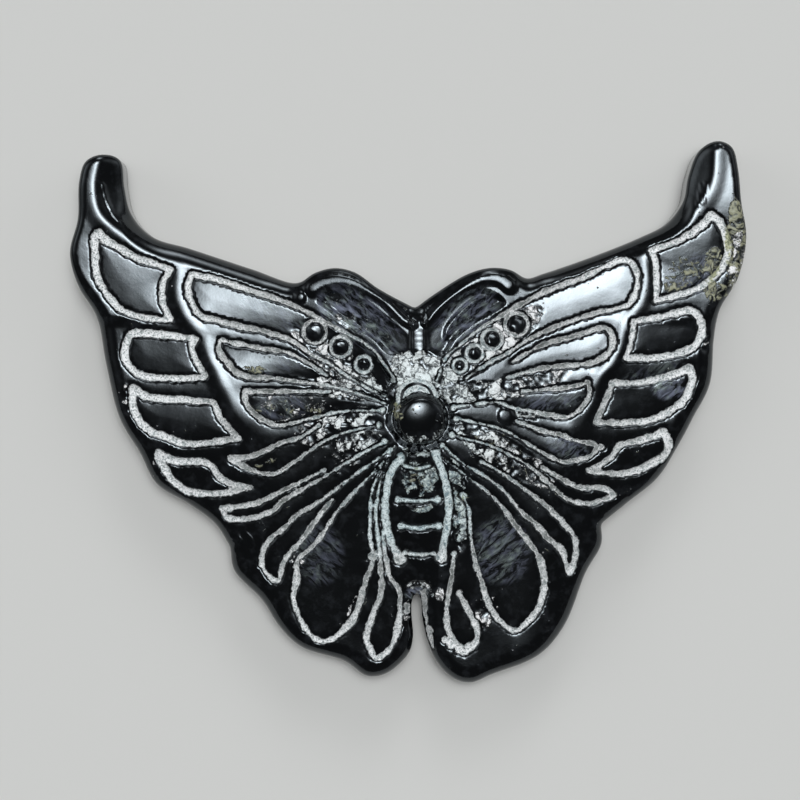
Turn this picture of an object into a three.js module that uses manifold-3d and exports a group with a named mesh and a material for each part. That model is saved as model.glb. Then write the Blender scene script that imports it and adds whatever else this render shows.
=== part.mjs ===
// A butterfly pendant carved from one slab of dark polished stone, about 50 mm across.
// It lies on its flat back: +Z comes out of the carved face, +X runs to the right wing and
// +Y to the wing tips. The origin is under the middle of the slab's own box. Units are mm.

import * as THREE from 'three';
import Module from 'manifold-3d';
import { mergeVertices } from 'three/addons/utils/BufferGeometryUtils.js';
import { TessellateModifier } from 'three/addons/modifiers/TessellateModifier.js';

const wasm = await Module();
wasm.setup();

// Thickness of the slab
const RIM_TOP = 5.5; // where the rounded shoulder meets the carved face
const SHOULDER = 1.2; // radius of the rounded shoulder
const BACK_PLANE = 0.75; // how far up the lower rounding the flat back is ground
const SWELL = 1; // how much thicker the middle is than the wings
const SWELL_X = 5.5; // reach of the swell's bell curve across the wings
const SWELL_Y = 9; // and along the body
const SWELL_AT = [0.7, 0];
const TAIL_START = 1; // the slab thins out below this y
const TAIL_EASE = 6; // length over which the thinning sets in
const TAIL_SLOPE = 0.085;
const MARGIN_SLOPE = 0.06; // fall of the outer wing towards its margin
const MARGIN_START = 17; // distance from the middle line where that fall sets in
const FACE_STEP = 5; // longest facet edge on the swollen face
const OUTLINE_STEP = 1.3; // facet length along the outline

// Ground lines, and the rounded ribs left standing between them
const LINE_WIDTH = 0.55;
const LINE_DEPTH = 0.35;
const LINE_STEP = 4; // longest facet along a line
const SHARPEST_MITER = 0.6; // cosine past which a corner is cut short
const RIB_WIDTH = 1.5;
const RIB_HEIGHT = 0.4;
const RIB_STEP = 1.6;
const RIB_FADE = 1.6; // length over which a rib's end sinks into the face

// Head and abdomen
const BODY_X = 0.75;
const HEAD_AT = [0.9, -0.42];
const HEAD_RADIUS = 1.95;
const HEAD_TOP = 8; // highest point of the bead
const ABDOMEN_TOP = -2.6;
const ABDOMEN_END = -12.5;
const ABDOMEN_HALF = 1.45;
const ABDOMEN_RINGS = 5;
const ABDOMEN_RISE = 0.5; // height of the abdomen over its half width

// The outline runs anticlockwise from the notch over the head. Each stretch is a smooth
// curve through its points, and neighbouring stretches meet at a corner.
const HEAD_NOTCH = [0.5, 7.75];
const LEFT_WAIST = [-13.3, -10.0];
const SLIT_LEFT = [0.4, -16.6];
const SLIT_RIGHT = [1.35, -16.8];
const RIGHT_WAIST = [14.4, -8.3];

const leftForewing = [
  HEAD_NOTCH, [-2.2, 9.2], [-3.9, 10.4], [-5.4, 10.75], [-6.9, 10.4], [-8.2, 9.65],
  [-11.6, 10.7], [-16.3, 12.25], [-19, 13.1], [-20.6, 14.8], [-21.1, 16.8], [-21.4, 18.8],
  [-22.6, 19.2], [-23.9, 18.7], [-24.4, 17.2], [-24.5, 14.4], [-25.1, 11.9], [-24.5, 9.4],
  [-23.2, 7.2], [-22.5, 3.6], [-21.5, -0.4], [-20, -3], [-18.8, -5.3], [-16.4, -6.8],
  [-14.4, -8.3], LEFT_WAIST,
];
const leftHindwing = [
  LEFT_WAIST, [-13, -11.8], [-10.9, -14], [-9.6, -16], [-8, -17.5], [-4.7, -18.6],
  [-3.1, -19.7], [-1.6, -19.5], [0.1, -17.9], SLIT_LEFT,
];
const tailSlit = [
  SLIT_LEFT, [0.25, -15], [0.3, -13.95], [0.63, -13.4], [0.95, -13.95], [1.03, -15.2], SLIT_RIGHT,
];
const rightHindwing = [
  SLIT_RIGHT, [2.1, -18.6], [3.4, -19.9], [4.7, -20.2], [6.2, -19.6], [9.8, -18.1],
  [11.7, -15.9], [13.3, -11.9], [14.45, -9.8], RIGHT_WAIST,
];
const rightForewing = [
  RIGHT_WAIST, [16.4, -6.7], [18.7, -4.8], [20.3, -2.2], [21.3, -0.3], [22.5, 2.1],
  [22.8, 5.6], [23.2, 7.7], [24.5, 10], [25.1, 13], [24.7, 15.7], [24.45, 18.2],
  [24, 19.75], [22.9, 20.2], [21.6, 19.5], [20.8, 17.6], [20.4, 15.7], [19.2, 14.1],
  [17.2, 13.05], [13.6, 11.6], [10, 10.35], [8.8, 10], [7.6, 10.6], [6.1, 10.75],
  [4.4, 10.3], [2, 8.85], HEAD_NOTCH,
];

// Cells between the rounded margin and the rib, each ringed by a ground line
const outerCells = [
  [[-23, 13.3], [-20.1, 11.5], [-17.7, 10.6], [-18.2, 8.8], [-17.7, 6.9], [-21, 7.4], [-23.1, 10.4]],
  [[-20.8, 5.9], [-15.8, 5.5], [-15.1, 2.7], [-19.8, 2.8], [-21, 4.1]],
  [[-20.4, 1.8], [-19.2, 1.2], [-14.4, 0.8], [-12.7, -1.9], [-16.8, -2.2], [-19.8, -0.7]],
  [[-18.5, -3], [-14.9, -3.7], [-12, -5.5], [-15.5, -6], [-17.6, -5]],
  [[22.5, 14.6], [23.6, 12.2], [22.2, 9.8], [18.3, 8.3], [18.2, 11.9], [20.8, 13.1]],
  [[16.7, 6.8], [21.1, 7.6], [21.7, 5.8], [19.5, 4.3], [16.1, 4.1]],
  [[15.1, 2.3], [18, 2.4], [20.9, 3.3], [20.8, 1.2], [18, -0.5], [13.9, -0.7]],
  [[19, -1.4], [15.7, -2.4], [13.6, -4.3], [16.9, -4.3], [19.4, -2.5]],
];

// Long cells that run in to the body, drawn as one open line round the outer end
const longCells = [
  [[-2.9, 4.7], [-8, 7.7], [-12.4, 9.3], [-16, 10], [-16.1, 8.2], [-14.3, 6.8], [-9, 5.5], [-3.3, 2.2]],
  [[-6, 3.2], [-9, 4.5], [-13.9, 5.3], [-12.8, 3], [-7.9, 2.3], [-3, 1.3]],
  [[-5.8, 1.6], [-12.1, 1.6], [-11.6, 0], [-9.6, -0.9], [-3, 0.1]],
  [[-6.6, -0.9], [-9.6, -2.3], [-13.3, -3.4], [-11, -4.5], [-8.7, -3.8], [-2.6, -1.1]],
  [[-9.2, -5.5], [-11.3, -6.7], [-13.8, -7.2], [-10.8, -7.5], [-2.2, -2.3]],
  [[-6, -7.1], [-8.4, -10], [-9.7, -12.6], [-10.9, -10.9], [-9.3, -8.6], [-2.4, -3.4]],
  [[2.4, 3.3], [5.4, 6.3], [9.9, 8.9], [16.2, 11.1], [16.8, 9.2], [12.6, 7], [7.3, 4.4], [4.3, 2.6]],
  [[6.8, 3.3], [9.9, 5], [14.8, 6.3], [14.9, 4.5], [12.7, 3.6], [7.8, 2.6]],
  [[7.4, 1.7], [13.3, 2.2], [12.7, 0.3], [10.7, -0.3], [4.6, 0.6]],
  [[7.4, -0.4], [11.2, -1.6], [14, -2.5], [12, -3.6], [8.4, -2], [4, -0.6]],
  [[9.9, -3.9], [12, -5.3], [15.2, -6.1], [12, -6.6], [9.2, -4.1], [4, -1.8]],
  [[4.6, -2.9], [9.9, -6.6], [12.4, -9.6], [12, -11.9], [10.6, -9.4], [6.9, -5.6], [4.2, -3.7]],
];

// Drops on the hindwings and the strands beside the abdomen
const tailLines = [
  [[-5, -7], [-8.2, -11], [-8.4, -14.2], [-6.3, -17], [-3.9, -14.9], [-2.8, -11.5],
    [-2.8, -7.2], [-2, -3.9]],
  [[-2.1, -11.2], [-2.5, -14.6], [-3.1, -16.8], [-2.3, -18.1], [-1, -16.8], [-0.6, -14], [-1.2, -12.2]],
  [[-0.6, -3.5], [-1.6, -5.6], [-1.7, -8.6], [-0.8, -10.7]],
  [[4, -5.2], [8, -8.4], [10.1, -12.1], [9.4, -14.9], [8, -16.1], [6.2, -14.4], [4.7, -9.8], [4.1, -6.3]],
  [[3.4, -10.4], [2.9, -14.5], [3.3, -17], [4.2, -17.8], [5.1, -16.6], [3.9, -13.4]],
  [[2.1, -3.2], [2.9, -5.6], [2.9, -8.6], [2.5, -10.6]],
];

// Rings drilled in the first long cell of each forewing: x, y and radius
const rings = [
  [-6.9, 6, 0.85], [-5, 4.9, 0.75], [8, 6.5, 0.85], [6.2, 5.4, 0.75], [4.9, 4.4, 0.62],
];

// Rounded ribs: along each wing, along the two antennae, and down the neck
const ribs = [
  [[-23.1, 17.8], [-23.3, 15.4], [-21.8, 13.3], [-17.3, 11], [-17, 8.2],
    [-14.9, 4.4], [-13.4, 0.8], [-11.2, -1.5]],
  [[22.9, 18.8], [22.5, 15.9], [20.4, 13.8], [17.4, 11.4], [17.5, 8.9],
    [15.9, 6], [14.3, 2.6], [13.8, 0.4]],
  [[-6.8, 9.1], [-5.2, 9.6], [-3.6, 9.2], [-1.7, 8.1], [-0.4, 6.7]],
  [[7.5, 9.5], [5.9, 9.7], [4.3, 9.1], [2.9, 8.1], [1.9, 6.7]],
];
const neckRib = [[BODY_X, 6.9], [BODY_X, 4.6]];
const NECK_RIB_WIDTH = 1.1;

// How far the face stands above the rim's level: a low swell at the head, a thinner tail
// and outer wings that fall away to their margins
function swell(x, y) {
  const u = (x - SWELL_AT[0]) / SWELL_X;
  const v = (y - SWELL_AT[1]) / SWELL_Y;
  const dome = SWELL * Math.exp(-0.5 * (u * u + v * v));
  const down = Math.max(0, TAIL_START - y);
  const drop = down < TAIL_EASE ? (down * down) / (2 * TAIL_EASE) : down - TAIL_EASE / 2;
  const out = Math.max(0, Math.abs(x) - MARGIN_START);
  return dome - TAIL_SLOPE * drop - MARGIN_SLOPE * out;
}

// Moves a geometry up or down by the swell, fully at the rim's level and less to the back
function drape(geometry) {
  const place = geometry.attributes.position;
  for (let i = 0; i < place.count; i++) {
    const z = place.getZ(i);
    const share = THREE.MathUtils.clamp(z / (RIM_TOP - SHOULDER), 0, 1);
    place.setZ(i, z + share * swell(place.getX(i), place.getY(i)));
  }
  return geometry;
}

function toSolid(geometry) {
  const bare = geometry.clone();
  bare.deleteAttribute('normal');
  bare.deleteAttribute('uv');
  const joined = mergeVertices(bare, 1e-4);
  const vertProperties = new Float32Array(joined.attributes.position.array);
  const triVerts = new Uint32Array(joined.index.array);
  return new wasm.Manifold(new wasm.Mesh({ numProp: 3, vertProperties, triVerts }));
}

function toGeometry(solid) {
  const mesh = solid.getMesh();
  const geometry = new THREE.BufferGeometry();
  geometry.setAttribute('position', new THREE.BufferAttribute(mesh.vertProperties, 3));
  geometry.setIndex(new THREE.BufferAttribute(mesh.triVerts, 1));
  geometry.computeVertexNormals();
  return geometry;
}

// Points at an even step along a smooth curve through the given points
function smooth(points, step) {
  const through = points.map(([x, y]) => new THREE.Vector3(x, y, 0));
  const curve = new THREE.CatmullRomCurve3(through, false, 'centripetal');
  const count = Math.max(2, Math.round(curve.getLength() / step));
  return curve.getSpacedPoints(count).map((p) => new THREE.Vector2(p.x, p.y));
}

// Points on straight sides, with long sides divided so that they can follow the swell
function straight(points, step, closed) {
  const out = [];
  const sides = closed ? points.length : points.length - 1;
  for (let i = 0; i < sides; i++) {
    const from = new THREE.Vector2(...points[i]);
    const to = new THREE.Vector2(...points[(i + 1) % points.length]);
    const parts = Math.ceil(from.distanceTo(to) / step);
    for (let j = 0; j < parts; j++) out.push(from.clone().lerp(to, j / parts));
  }
  if (!closed) out.push(new THREE.Vector2(...points.at(-1)));
  return out;
}

// A line moved sideways by a distance, to the left of its direction, with mitred corners
function offset(points, distance, closed) {
  const count = points.length;
  const normalOf = (i) => {
    const start = closed ? (i + count) % count : THREE.MathUtils.clamp(i, 0, count - 2);
    const along = points[(start + 1) % count].clone().sub(points[start]).normalize();
    return new THREE.Vector2(-along.y, along.x);
  };
  return points.map((point, i) => {
    const before = normalOf(i - 1);
    const normal = before.clone().add(normalOf(i)).normalize();
    const miter = Math.max(SHARPEST_MITER, normal.dot(before));
    return point.clone().addScaledVector(normal, distance / miter);
  });
}

// A prism over a flat shape, from one height to another, then lifted onto the face
function block(shape, low, high) {
  const geometry = new THREE.ExtrudeGeometry(shape, { depth: high - low, bevelEnabled: false });
  return toSolid(drape(geometry.translate(0, 0, low)));
}

function lineCutter(points, closed) {
  const path = straight(points, LINE_STEP, closed);
  if (THREE.ShapeUtils.isClockWise(path)) path.reverse();
  const one = offset(path, LINE_WIDTH / 2, closed);
  const other = offset(path, -LINE_WIDTH / 2, closed);
  let shape;
  if (closed) {
    const [inner, outer] = [one, other].sort((a, b) => area(a) - area(b));
    shape = new THREE.Shape(outer);
    shape.holes.push(new THREE.Path(inner));
  } else {
    shape = new THREE.Shape([...one, ...other.reverse()]);
  }
  return block(shape, RIM_TOP - LINE_DEPTH, RIM_TOP + SHOULDER);
}

function area(points) {
  return Math.abs(THREE.ShapeUtils.area(points));
}

function ringCutter([x, y, radius]) {
  const shape = new THREE.Shape().absarc(x, y, radius + LINE_WIDTH / 4, 0, 2 * Math.PI);
  shape.holes.push(new THREE.Path().absarc(x, y, radius - LINE_WIDTH / 4, 0, 2 * Math.PI));
  const settings = { depth: LINE_DEPTH + SHOULDER, bevelEnabled: false, curveSegments: 6 };
  const geometry = new THREE.ExtrudeGeometry(shape, settings);
  return toSolid(drape(geometry.translate(0, 0, RIM_TOP - LINE_DEPTH)));
}

// A rib with a rounded back: a narrow core with a wide bevel, half of it sunk in the slab,
// whose two ends run out into the face
function rib(points, width) {
  const path = smooth(points, RIB_STEP);
  const core = width / 4;
  const shape = new THREE.Shape([
    ...offset(path, core / 2, false),
    ...offset(path, -core / 2, false).reverse(),
  ]);
  const geometry = new THREE.ExtrudeGeometry(shape, {
    depth: 0.02,
    bevelThickness: RIB_HEIGHT,
    bevelSize: (width - core) / 2,
    bevelSegments: 2,
  });
  geometry.translate(0, 0, RIM_TOP);
  const place = geometry.attributes.position;
  for (let i = 0; i < place.count; i++) {
    const here = new THREE.Vector2(place.getX(i), place.getY(i));
    const toEnd = Math.min(here.distanceTo(path[0]), here.distanceTo(path.at(-1)));
    const sunk = 1 - THREE.MathUtils.smoothstep(toEnd, 0, RIB_FADE);
    place.setZ(i, place.getZ(i) - RIB_HEIGHT * sunk);
  }
  return toSolid(drape(geometry));
}

function slab() {
  const stretches = [leftForewing, leftHindwing, tailSlit, rightHindwing, rightForewing];
  const outline = stretches.flatMap((stretch) => smooth(stretch, OUTLINE_STEP).slice(0, -1));
  const geometry = new THREE.ExtrudeGeometry(new THREE.Shape(outline), {
    depth: RIM_TOP + BACK_PLANE - 2 * SHOULDER,
    bevelThickness: SHOULDER,
    bevelSize: SHOULDER,
    bevelOffset: -SHOULDER,
    bevelSegments: 2,
  });
  geometry.translate(0, 0, SHOULDER - BACK_PLANE);
  const divided = new TessellateModifier(FACE_STEP, 9).modify(geometry);
  const size = 100;
  const below = new THREE.BoxGeometry(size, size, size).translate(0, 0, -size / 2);
  return toSolid(drape(divided)).subtract(toSolid(below));
}

function head() {
  const bead = new THREE.SphereGeometry(HEAD_RADIUS, 20, 14).rotateX(Math.PI / 2);
  return toSolid(bead.translate(...HEAD_AT, HEAD_TOP - HEAD_RADIUS));
}

// A turned spindle that lies along the body, pinched in between its rings
function abdomen() {
  const steps = ABDOMEN_RINGS * 4;
  const length = ABDOMEN_TOP - ABDOMEN_END;
  const profile = [];
  for (let i = 0; i <= steps; i++) {
    const t = i / steps;
    const spindle = Math.sqrt(Math.sin(Math.PI * (0.04 + 0.92 * t)));
    const ring = 0.84 + 0.16 * Math.abs(Math.sin(Math.PI * ABDOMEN_RINGS * t));
    const end = i === 0 || i === steps;
    profile.push(new THREE.Vector2(end ? 0 : ABDOMEN_HALF * spindle * ring, ABDOMEN_END + length * t));
  }
  const geometry = new THREE.LatheGeometry(profile, 14);
  geometry.scale(1, 1, ABDOMEN_RISE);
  geometry.translate(BODY_X, 0, RIM_TOP);
  return toSolid(drape(geometry));
}

function carve() {
  let body = slab();
  for (const points of ribs) body = body.add(rib(points, RIB_WIDTH));
  body = body.add(rib(neckRib, NECK_RIB_WIDTH));
  const cutters = [
    ...outerCells.map((points) => lineCutter(points, true)),
    ...[...longCells, ...tailLines].map((points) => lineCutter(points, false)),
    ...rings.map(ringCutter),
  ];
  body = body.subtract(cutters.reduce((all, cutter) => all.add(cutter)));
  return body.add(abdomen()).add(head());
}

const stone = new THREE.MeshStandardMaterial({ color: 0x121417, roughness: 0.12, metalness: 0 });

const geometry = toGeometry(carve());
geometry.computeBoundingBox();
const middle = geometry.boundingBox.getCenter(new THREE.Vector3());
geometry.translate(-middle.x, -middle.y, 0);

const butterfly = new THREE.Mesh(geometry, stone);
butterfly.name = 'butterfly_pendant';

const group = new THREE.Group();
group.add(butterfly);

export default group;
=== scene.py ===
# %% [markdown]
# # Stone butterfly pendant
# A butterfly about 50 mm across, carved from one slab of near-black stone and polished by
# hand. The pattern is ground into the polished face with a small wheel, and the ground lines
# stay matt and pale. Everything below is one surface, because the real piece is one stone.
# The slab lies on its flat back. Sizes are worked out in millimetres and put into the mesh
# in metres.

# %% Load the frame
import math

import bpy
import numpy as np
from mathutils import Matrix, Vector, geometry


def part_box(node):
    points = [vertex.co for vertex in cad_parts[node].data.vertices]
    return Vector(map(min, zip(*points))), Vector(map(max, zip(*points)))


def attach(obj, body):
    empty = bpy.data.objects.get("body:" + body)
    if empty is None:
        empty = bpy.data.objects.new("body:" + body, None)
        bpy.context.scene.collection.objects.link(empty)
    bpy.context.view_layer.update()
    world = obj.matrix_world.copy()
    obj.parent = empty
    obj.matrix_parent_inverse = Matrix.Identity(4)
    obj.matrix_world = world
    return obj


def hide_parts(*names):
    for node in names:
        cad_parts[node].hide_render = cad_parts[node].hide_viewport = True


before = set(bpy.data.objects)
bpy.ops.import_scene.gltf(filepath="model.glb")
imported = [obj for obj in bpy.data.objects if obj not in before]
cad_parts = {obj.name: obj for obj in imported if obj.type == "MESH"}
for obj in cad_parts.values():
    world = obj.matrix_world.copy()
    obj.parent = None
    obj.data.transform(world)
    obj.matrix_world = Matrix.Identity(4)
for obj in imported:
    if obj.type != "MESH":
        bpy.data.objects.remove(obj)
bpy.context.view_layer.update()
MM = 0.001
box_low, box_high = (np.array(corner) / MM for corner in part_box("butterfly_pendant"))
print("CAD box in mm:", box_low.round(3), box_high.round(3))

# %% [markdown]
# ## Curves
# A carver draws such a pattern with a few sure strokes. Each stroke is written here as its
# turning points, and a smooth curve goes through them. A bar in the text is a sharp corner.
# A spline with centripetal spacing is used because it never loops or overshoots between
# points that are unevenly spaced.


# %% Smooth strokes from a few points
def spline(points, per_span=16):
    """A centripetal Catmull-Rom curve: each span is the cubic that leaves and meets its
    ends along tangents weighted by the square roots of the neighbouring chords."""
    p = np.array(points, float)
    p = np.vstack([2 * p[0] - p[1], p, 2 * p[-1] - p[-2]])
    gap = np.sqrt(np.linalg.norm(np.diff(p, axis=0), axis=1))[:, None]
    before, here, after = gap[:-2], gap[1:-1], gap[2:]
    p0, p1, p2, p3 = p[:-3], p[1:-2], p[2:-1], p[3:]
    leave = here * ((p1 - p0) / before - (p2 - p0) / (before + here) + (p2 - p1) / here)
    meet = here * ((p2 - p1) / here - (p3 - p1) / (here + after) + (p3 - p2) / after)
    u = np.linspace(0, 1, per_span, endpoint=False)[None, :, None]
    p1, p2, leave, meet = (a[:, None, :] for a in (p1, p2, leave, meet))
    curve = (
        (2 * u**3 - 3 * u**2 + 1) * p1
        + (u**3 - 2 * u**2 + u) * leave
        + (3 * u**2 - 2 * u**3) * p2
        + (u**3 - u**2) * meet
    )
    return np.vstack([curve.reshape(-1, 2), p[-2]])


def even(path, step):
    """The same line with its points at an even distance along it."""
    length = np.append(0, np.cumsum(np.linalg.norm(np.diff(path, axis=0), axis=1)))
    at = np.linspace(0, length[-1], max(3, round(length[-1] / step) + 1))
    return np.stack([np.interp(at, length, path[:, k]) for k in (0, 1)], axis=1)


def stroke(text, step=0.12):
    """Reads 'x,y x,y | x,y' and returns an evenly spaced line. A bar marks a corner."""
    last, pieces = None, []
    for part in text.split("|"):
        points = [tuple(map(float, pair.split(","))) for pair in part.split()]
        if last is not None:
            points.insert(0, last)
        if len(points) > 1:
            pieces.append(spline(points))
        last = points[-1]
    return even(np.vstack(pieces), step)


print("a stroke through three points:", stroke("0,0 1,1 2,0", 0.5).round(2).tolist())

# %% [markdown]
# ### Distances, ramps and noise
# The shapes below are sums of simple things: how far a point is from a line, a smooth step
# from nothing to full, and noise for what the hand left uneven. The noise comes from a
# seeded lattice, so every run gives the same stone.


# %% Distances, ramps and noise
BATCH = 4000  # points compared with a line at a time, which keeps the table of distances small


def nearest(points, path):
    """Distance from each point to a line, the place of its foot along the line from 0 to
    1, and the side it is on: positive to the left of the line's direction. The closest
    corner is found first, and then the foot on the two pieces of line that meet there."""
    count = len(path) - 1
    index = np.concatenate([
        ((path**2).sum(1) - 2 * some @ path.T).argmin(1)
        for some in np.array_split(points, len(points) // BATCH + 1)
    ])
    ring = np.allclose(path[0], path[-1])
    best = np.full((3, len(points)), 1e9)
    for turn in (-1, 0):
        i = (index + turn) % count if ring else np.clip(index + turn, 0, count - 1)
        along = path[i + 1] - path[i]
        away = points - path[i]
        t = np.clip((away * along).sum(1) / (along**2).sum(1), 0, 1)
        miss = away - t[:, None] * along
        side = along[:, 0] * miss[:, 1] - along[:, 1] * miss[:, 0]
        tried = np.stack([np.linalg.norm(miss, axis=1), (i + t) / count, side])
        best = np.where(tried[0] < best[0], tried, best)
    return best


def ramp(value, low, high):
    """Smooth step: 0 at low, 1 at high, and level at both ends."""
    t = np.clip((value - low) / (high - low), 0, 1)
    return t * t * (3 - 2 * t)


def box_round(points, path, reach):
    """Which points lie in the box round a line, widened by the reach."""
    low, high = path.min(0) - reach, path.max(0) + reach
    return np.flatnonzero(((points > low) & (points < high)).all(1))


def away(x, y, middle):
    """Distance from a middle point: the root of the sum of the squares."""
    return np.hypot(x - middle[0], y - middle[1])


LATTICE = np.random.default_rng(7).random((128, 128))
LATTICE_MIDDLE = 500
SEED_STEP = (17.3, 9.1)
print("random lattice for the noise:", LATTICE.shape)


def mottle(x, y, *layers):
    """Smooth noise. Each layer has a strength, a size in mm and a seed. It is random
    values between minus and plus its strength on a square lattice of that size, blended
    between neighbours with a smooth step, and the layers are added up."""
    total, n = 0, len(LATTICE)
    for strength, size, seed in layers:
        u, v = (a / size + step * seed + LATTICE_MIDDLE for a, step in zip((x, y), SEED_STEP))
        i, j = np.floor(u).astype(int), np.floor(v).astype(int)
        fu, fv = ramp(u - i, 0, 1), ramp(v - j, 0, 1)
        c = [LATTICE[(i + a) % n, (j + b) % n] for a in (0, 1) for b in (0, 1)]
        low, high = c[0] * (1 - fv) + c[1] * fv, c[2] * (1 - fv) + c[3] * fv
        total = total + strength * (2 * (low * (1 - fu) + high * fu) - 1)
    return total


# %% [markdown]
# ## Outline
# The slab was sawn to shape and its edge rounded over, so its outline is one closed line
# with softened corners: two horns, two lobes over the head, a notch between them, a waist
# on each side and a slit between the hindwings. The same turning points shaped the CAD
# part. The corners are softened by averaging the line along its length.

# %% Outline of the slab
OUTLINE = stroke(
    "0.5,7.75 -2.2,9.2 -3.9,10.4 -5.4,10.75 -6.9,10.4 -8.2,9.65 -11.6,10.7 -16.3,12.25"
    " -19,13.1 -20.6,14.8 -21.1,16.8 -21.4,18.8 -22.6,19.2 -23.9,18.7 -24.4,17.2"
    " -24.5,14.4 -25.1,11.9 -24.5,9.4 -23.2,7.2 -22.5,3.6 -21.5,-0.4 -20,-3 -18.8,-5.3"
    " -16.4,-6.8 -14.4,-8.3 -13.3,-10 | -13,-11.8 -10.9,-14 -9.6,-16 -8,-17.5 -4.7,-18.6"
    " -3.1,-19.7 -1.6,-19.5 0.1,-17.9 0.4,-16.6 | 0.25,-15 0.3,-13.95 0.63,-13.4"
    " 0.95,-13.95 1.03,-15.2 1.35,-16.8 | 2.1,-18.6 3.4,-19.9 4.7,-20.2 6.2,-19.6"
    " 9.8,-18.1 11.7,-15.9 13.3,-11.9 14.45,-9.8 14.4,-8.3 | 16.4,-6.7 18.7,-4.8"
    " 20.3,-2.2 21.3,-0.3 22.5,2.1 22.8,5.6 23.2,7.7 24.5,10 25.1,13 24.7,15.7"
    " 24.45,18.2 24,19.75 22.9,20.2 21.6,19.5 20.8,17.6 20.4,15.7 19.2,14.1 17.2,13.05"
    " 13.6,11.6 10,10.35 8.8,10 7.6,10.6 6.1,10.75 4.4,10.3 2,8.85 0.5,7.75",
    step=0.05,
)
CORNER_SOFTNESS = 0.16
RIM_STEP = 0.19


def soften(path, reach, step=0.05):
    """A closed line averaged along its length with a bell curve of the given reach."""
    offsets = np.arange(-round(3 * reach / step), round(3 * reach / step) + 1)
    weights = np.exp(-0.5 * (offsets * step / reach) ** 2)
    weights /= weights.sum()
    return sum(w * np.roll(path[:-1], -o, axis=0) for w, o in zip(weights, offsets))


edge = soften(OUTLINE, CORNER_SOFTNESS)
edge_low, edge_high = edge.min(0), edge.max(0)
FIT = (box_high[:2] - box_low[:2] - 0.01) / (edge_high - edge_low)
SHIFT = (box_high[:2] + box_low[:2]) / 2 - FIT * (edge_high + edge_low) / 2
edge = edge * FIT + SHIFT
rim = even(np.vstack([edge, edge[:1]]), RIM_STEP)
print("outline fitted by", FIT.round(4), SHIFT.round(3), "rim points:", len(rim) - 1)

# %% [markdown]
# ## Ground lines
# The lines were cut with a small wheel, which leaves a shallow trough with uneven, slightly
# chipped sides. They ring the cells of the wings, run in to the head, draw the drops of the
# hindwings and the strands beside the abdomen, and arch over the slit. Each is written as
# its middle line, and a few round ends and lumps of ground stone as circles.

# %% Middle lines of the ground strokes
HEAD = (0.9, -0.42)
OUTER_CELLS = [
    "-17.6,10.6 -18.1,9.8 -18.2,8.4 -18.1,7.9 -17.6,6.9 | -19,7 -20.1,7.2 -21.2,7.6"
    " -22,8.4 -22.6,9.2 -23.1,10.4 -23.2,11.9 -23.2,12.9 -22.9,13.3 -22.5,12.9"
    " -21.5,12.3 -20.1,11.5 -18.6,11 -17.6,10.6",
    "-15.7,5.5 -16,5 -15.8,4.1 -15,2.7 | -15.9,2.6 -18.2,2.6 -19.8,2.8 -20.5,3.3 -21,4.1"
    " -20.9,5.1 -20.6,5.8 -20.1,5.9 -18.2,5.8 -15.7,5.5",
    "-20.4,1.8 -19.3,1.2 -16.7,1 -14.4,0.8 | -13.8,-0.5 -13,-1.4 -12.5,-1.9 | -14.1,-2.1"
    " -15.7,-2.3 -16.8,-2.2 -17.9,-1.8 -19,-1.4 -19.8,-0.7 -20.4,0.5 -20.4,1.8",
    "-18.5,-3 -17.5,-3.5 -16.1,-3.6 -14.9,-3.7 -13.8,-4.9 -12.8,-5.3 -11.7,-5.5 |"
    " -12.3,-5.6 -13.4,-5.9 -14.9,-6 -16.4,-5.8 -17.4,-5.1 -18.1,-4.1 -18.5,-3.3 -18.5,-3",
    "22.4,14.7 23.1,14.1 23.5,13 23.7,11.9 23.2,10.7 22.5,10 21.6,9.3 20.6,8.9 19.5,8.6"
    " 18.3,8.3 | 18.4,9.2 18.3,11.1 18,12 | 19.1,12.4 20.2,12.9 21.4,13.6 22.1,14.3"
    " 22.4,14.7",
    "16.7,6.8 18,7 19.5,7.3 20.8,7.6 21.4,7.3 21.8,6.4 21.5,5.3 20.8,4.7 19.5,4.3"
    " 18,4.1 16.1,4.1 | 16.4,4.9 16.6,5.9 16.7,6.8",
    "15.1,2.3 16.5,2.2 18,2.4 19.5,2.8 20.9,3.3 | 21.1,2.7 20.9,1.7 20.5,1 19.5,0.2"
    " 18,-0.5 16.1,-0.7 13.9,-0.7 | 14.5,0.7 14.9,1.6 15.1,2.3",
    "19,-1.4 17.3,-2 15.7,-2.4 15,-3.3 14.3,-3.8 13.4,-4.3 | 14.3,-4.4 15.7,-4.5"
    " 16.9,-4.3 18,-3.8 19.1,-3.1 19.4,-2.4 19,-1.4",
]
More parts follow.
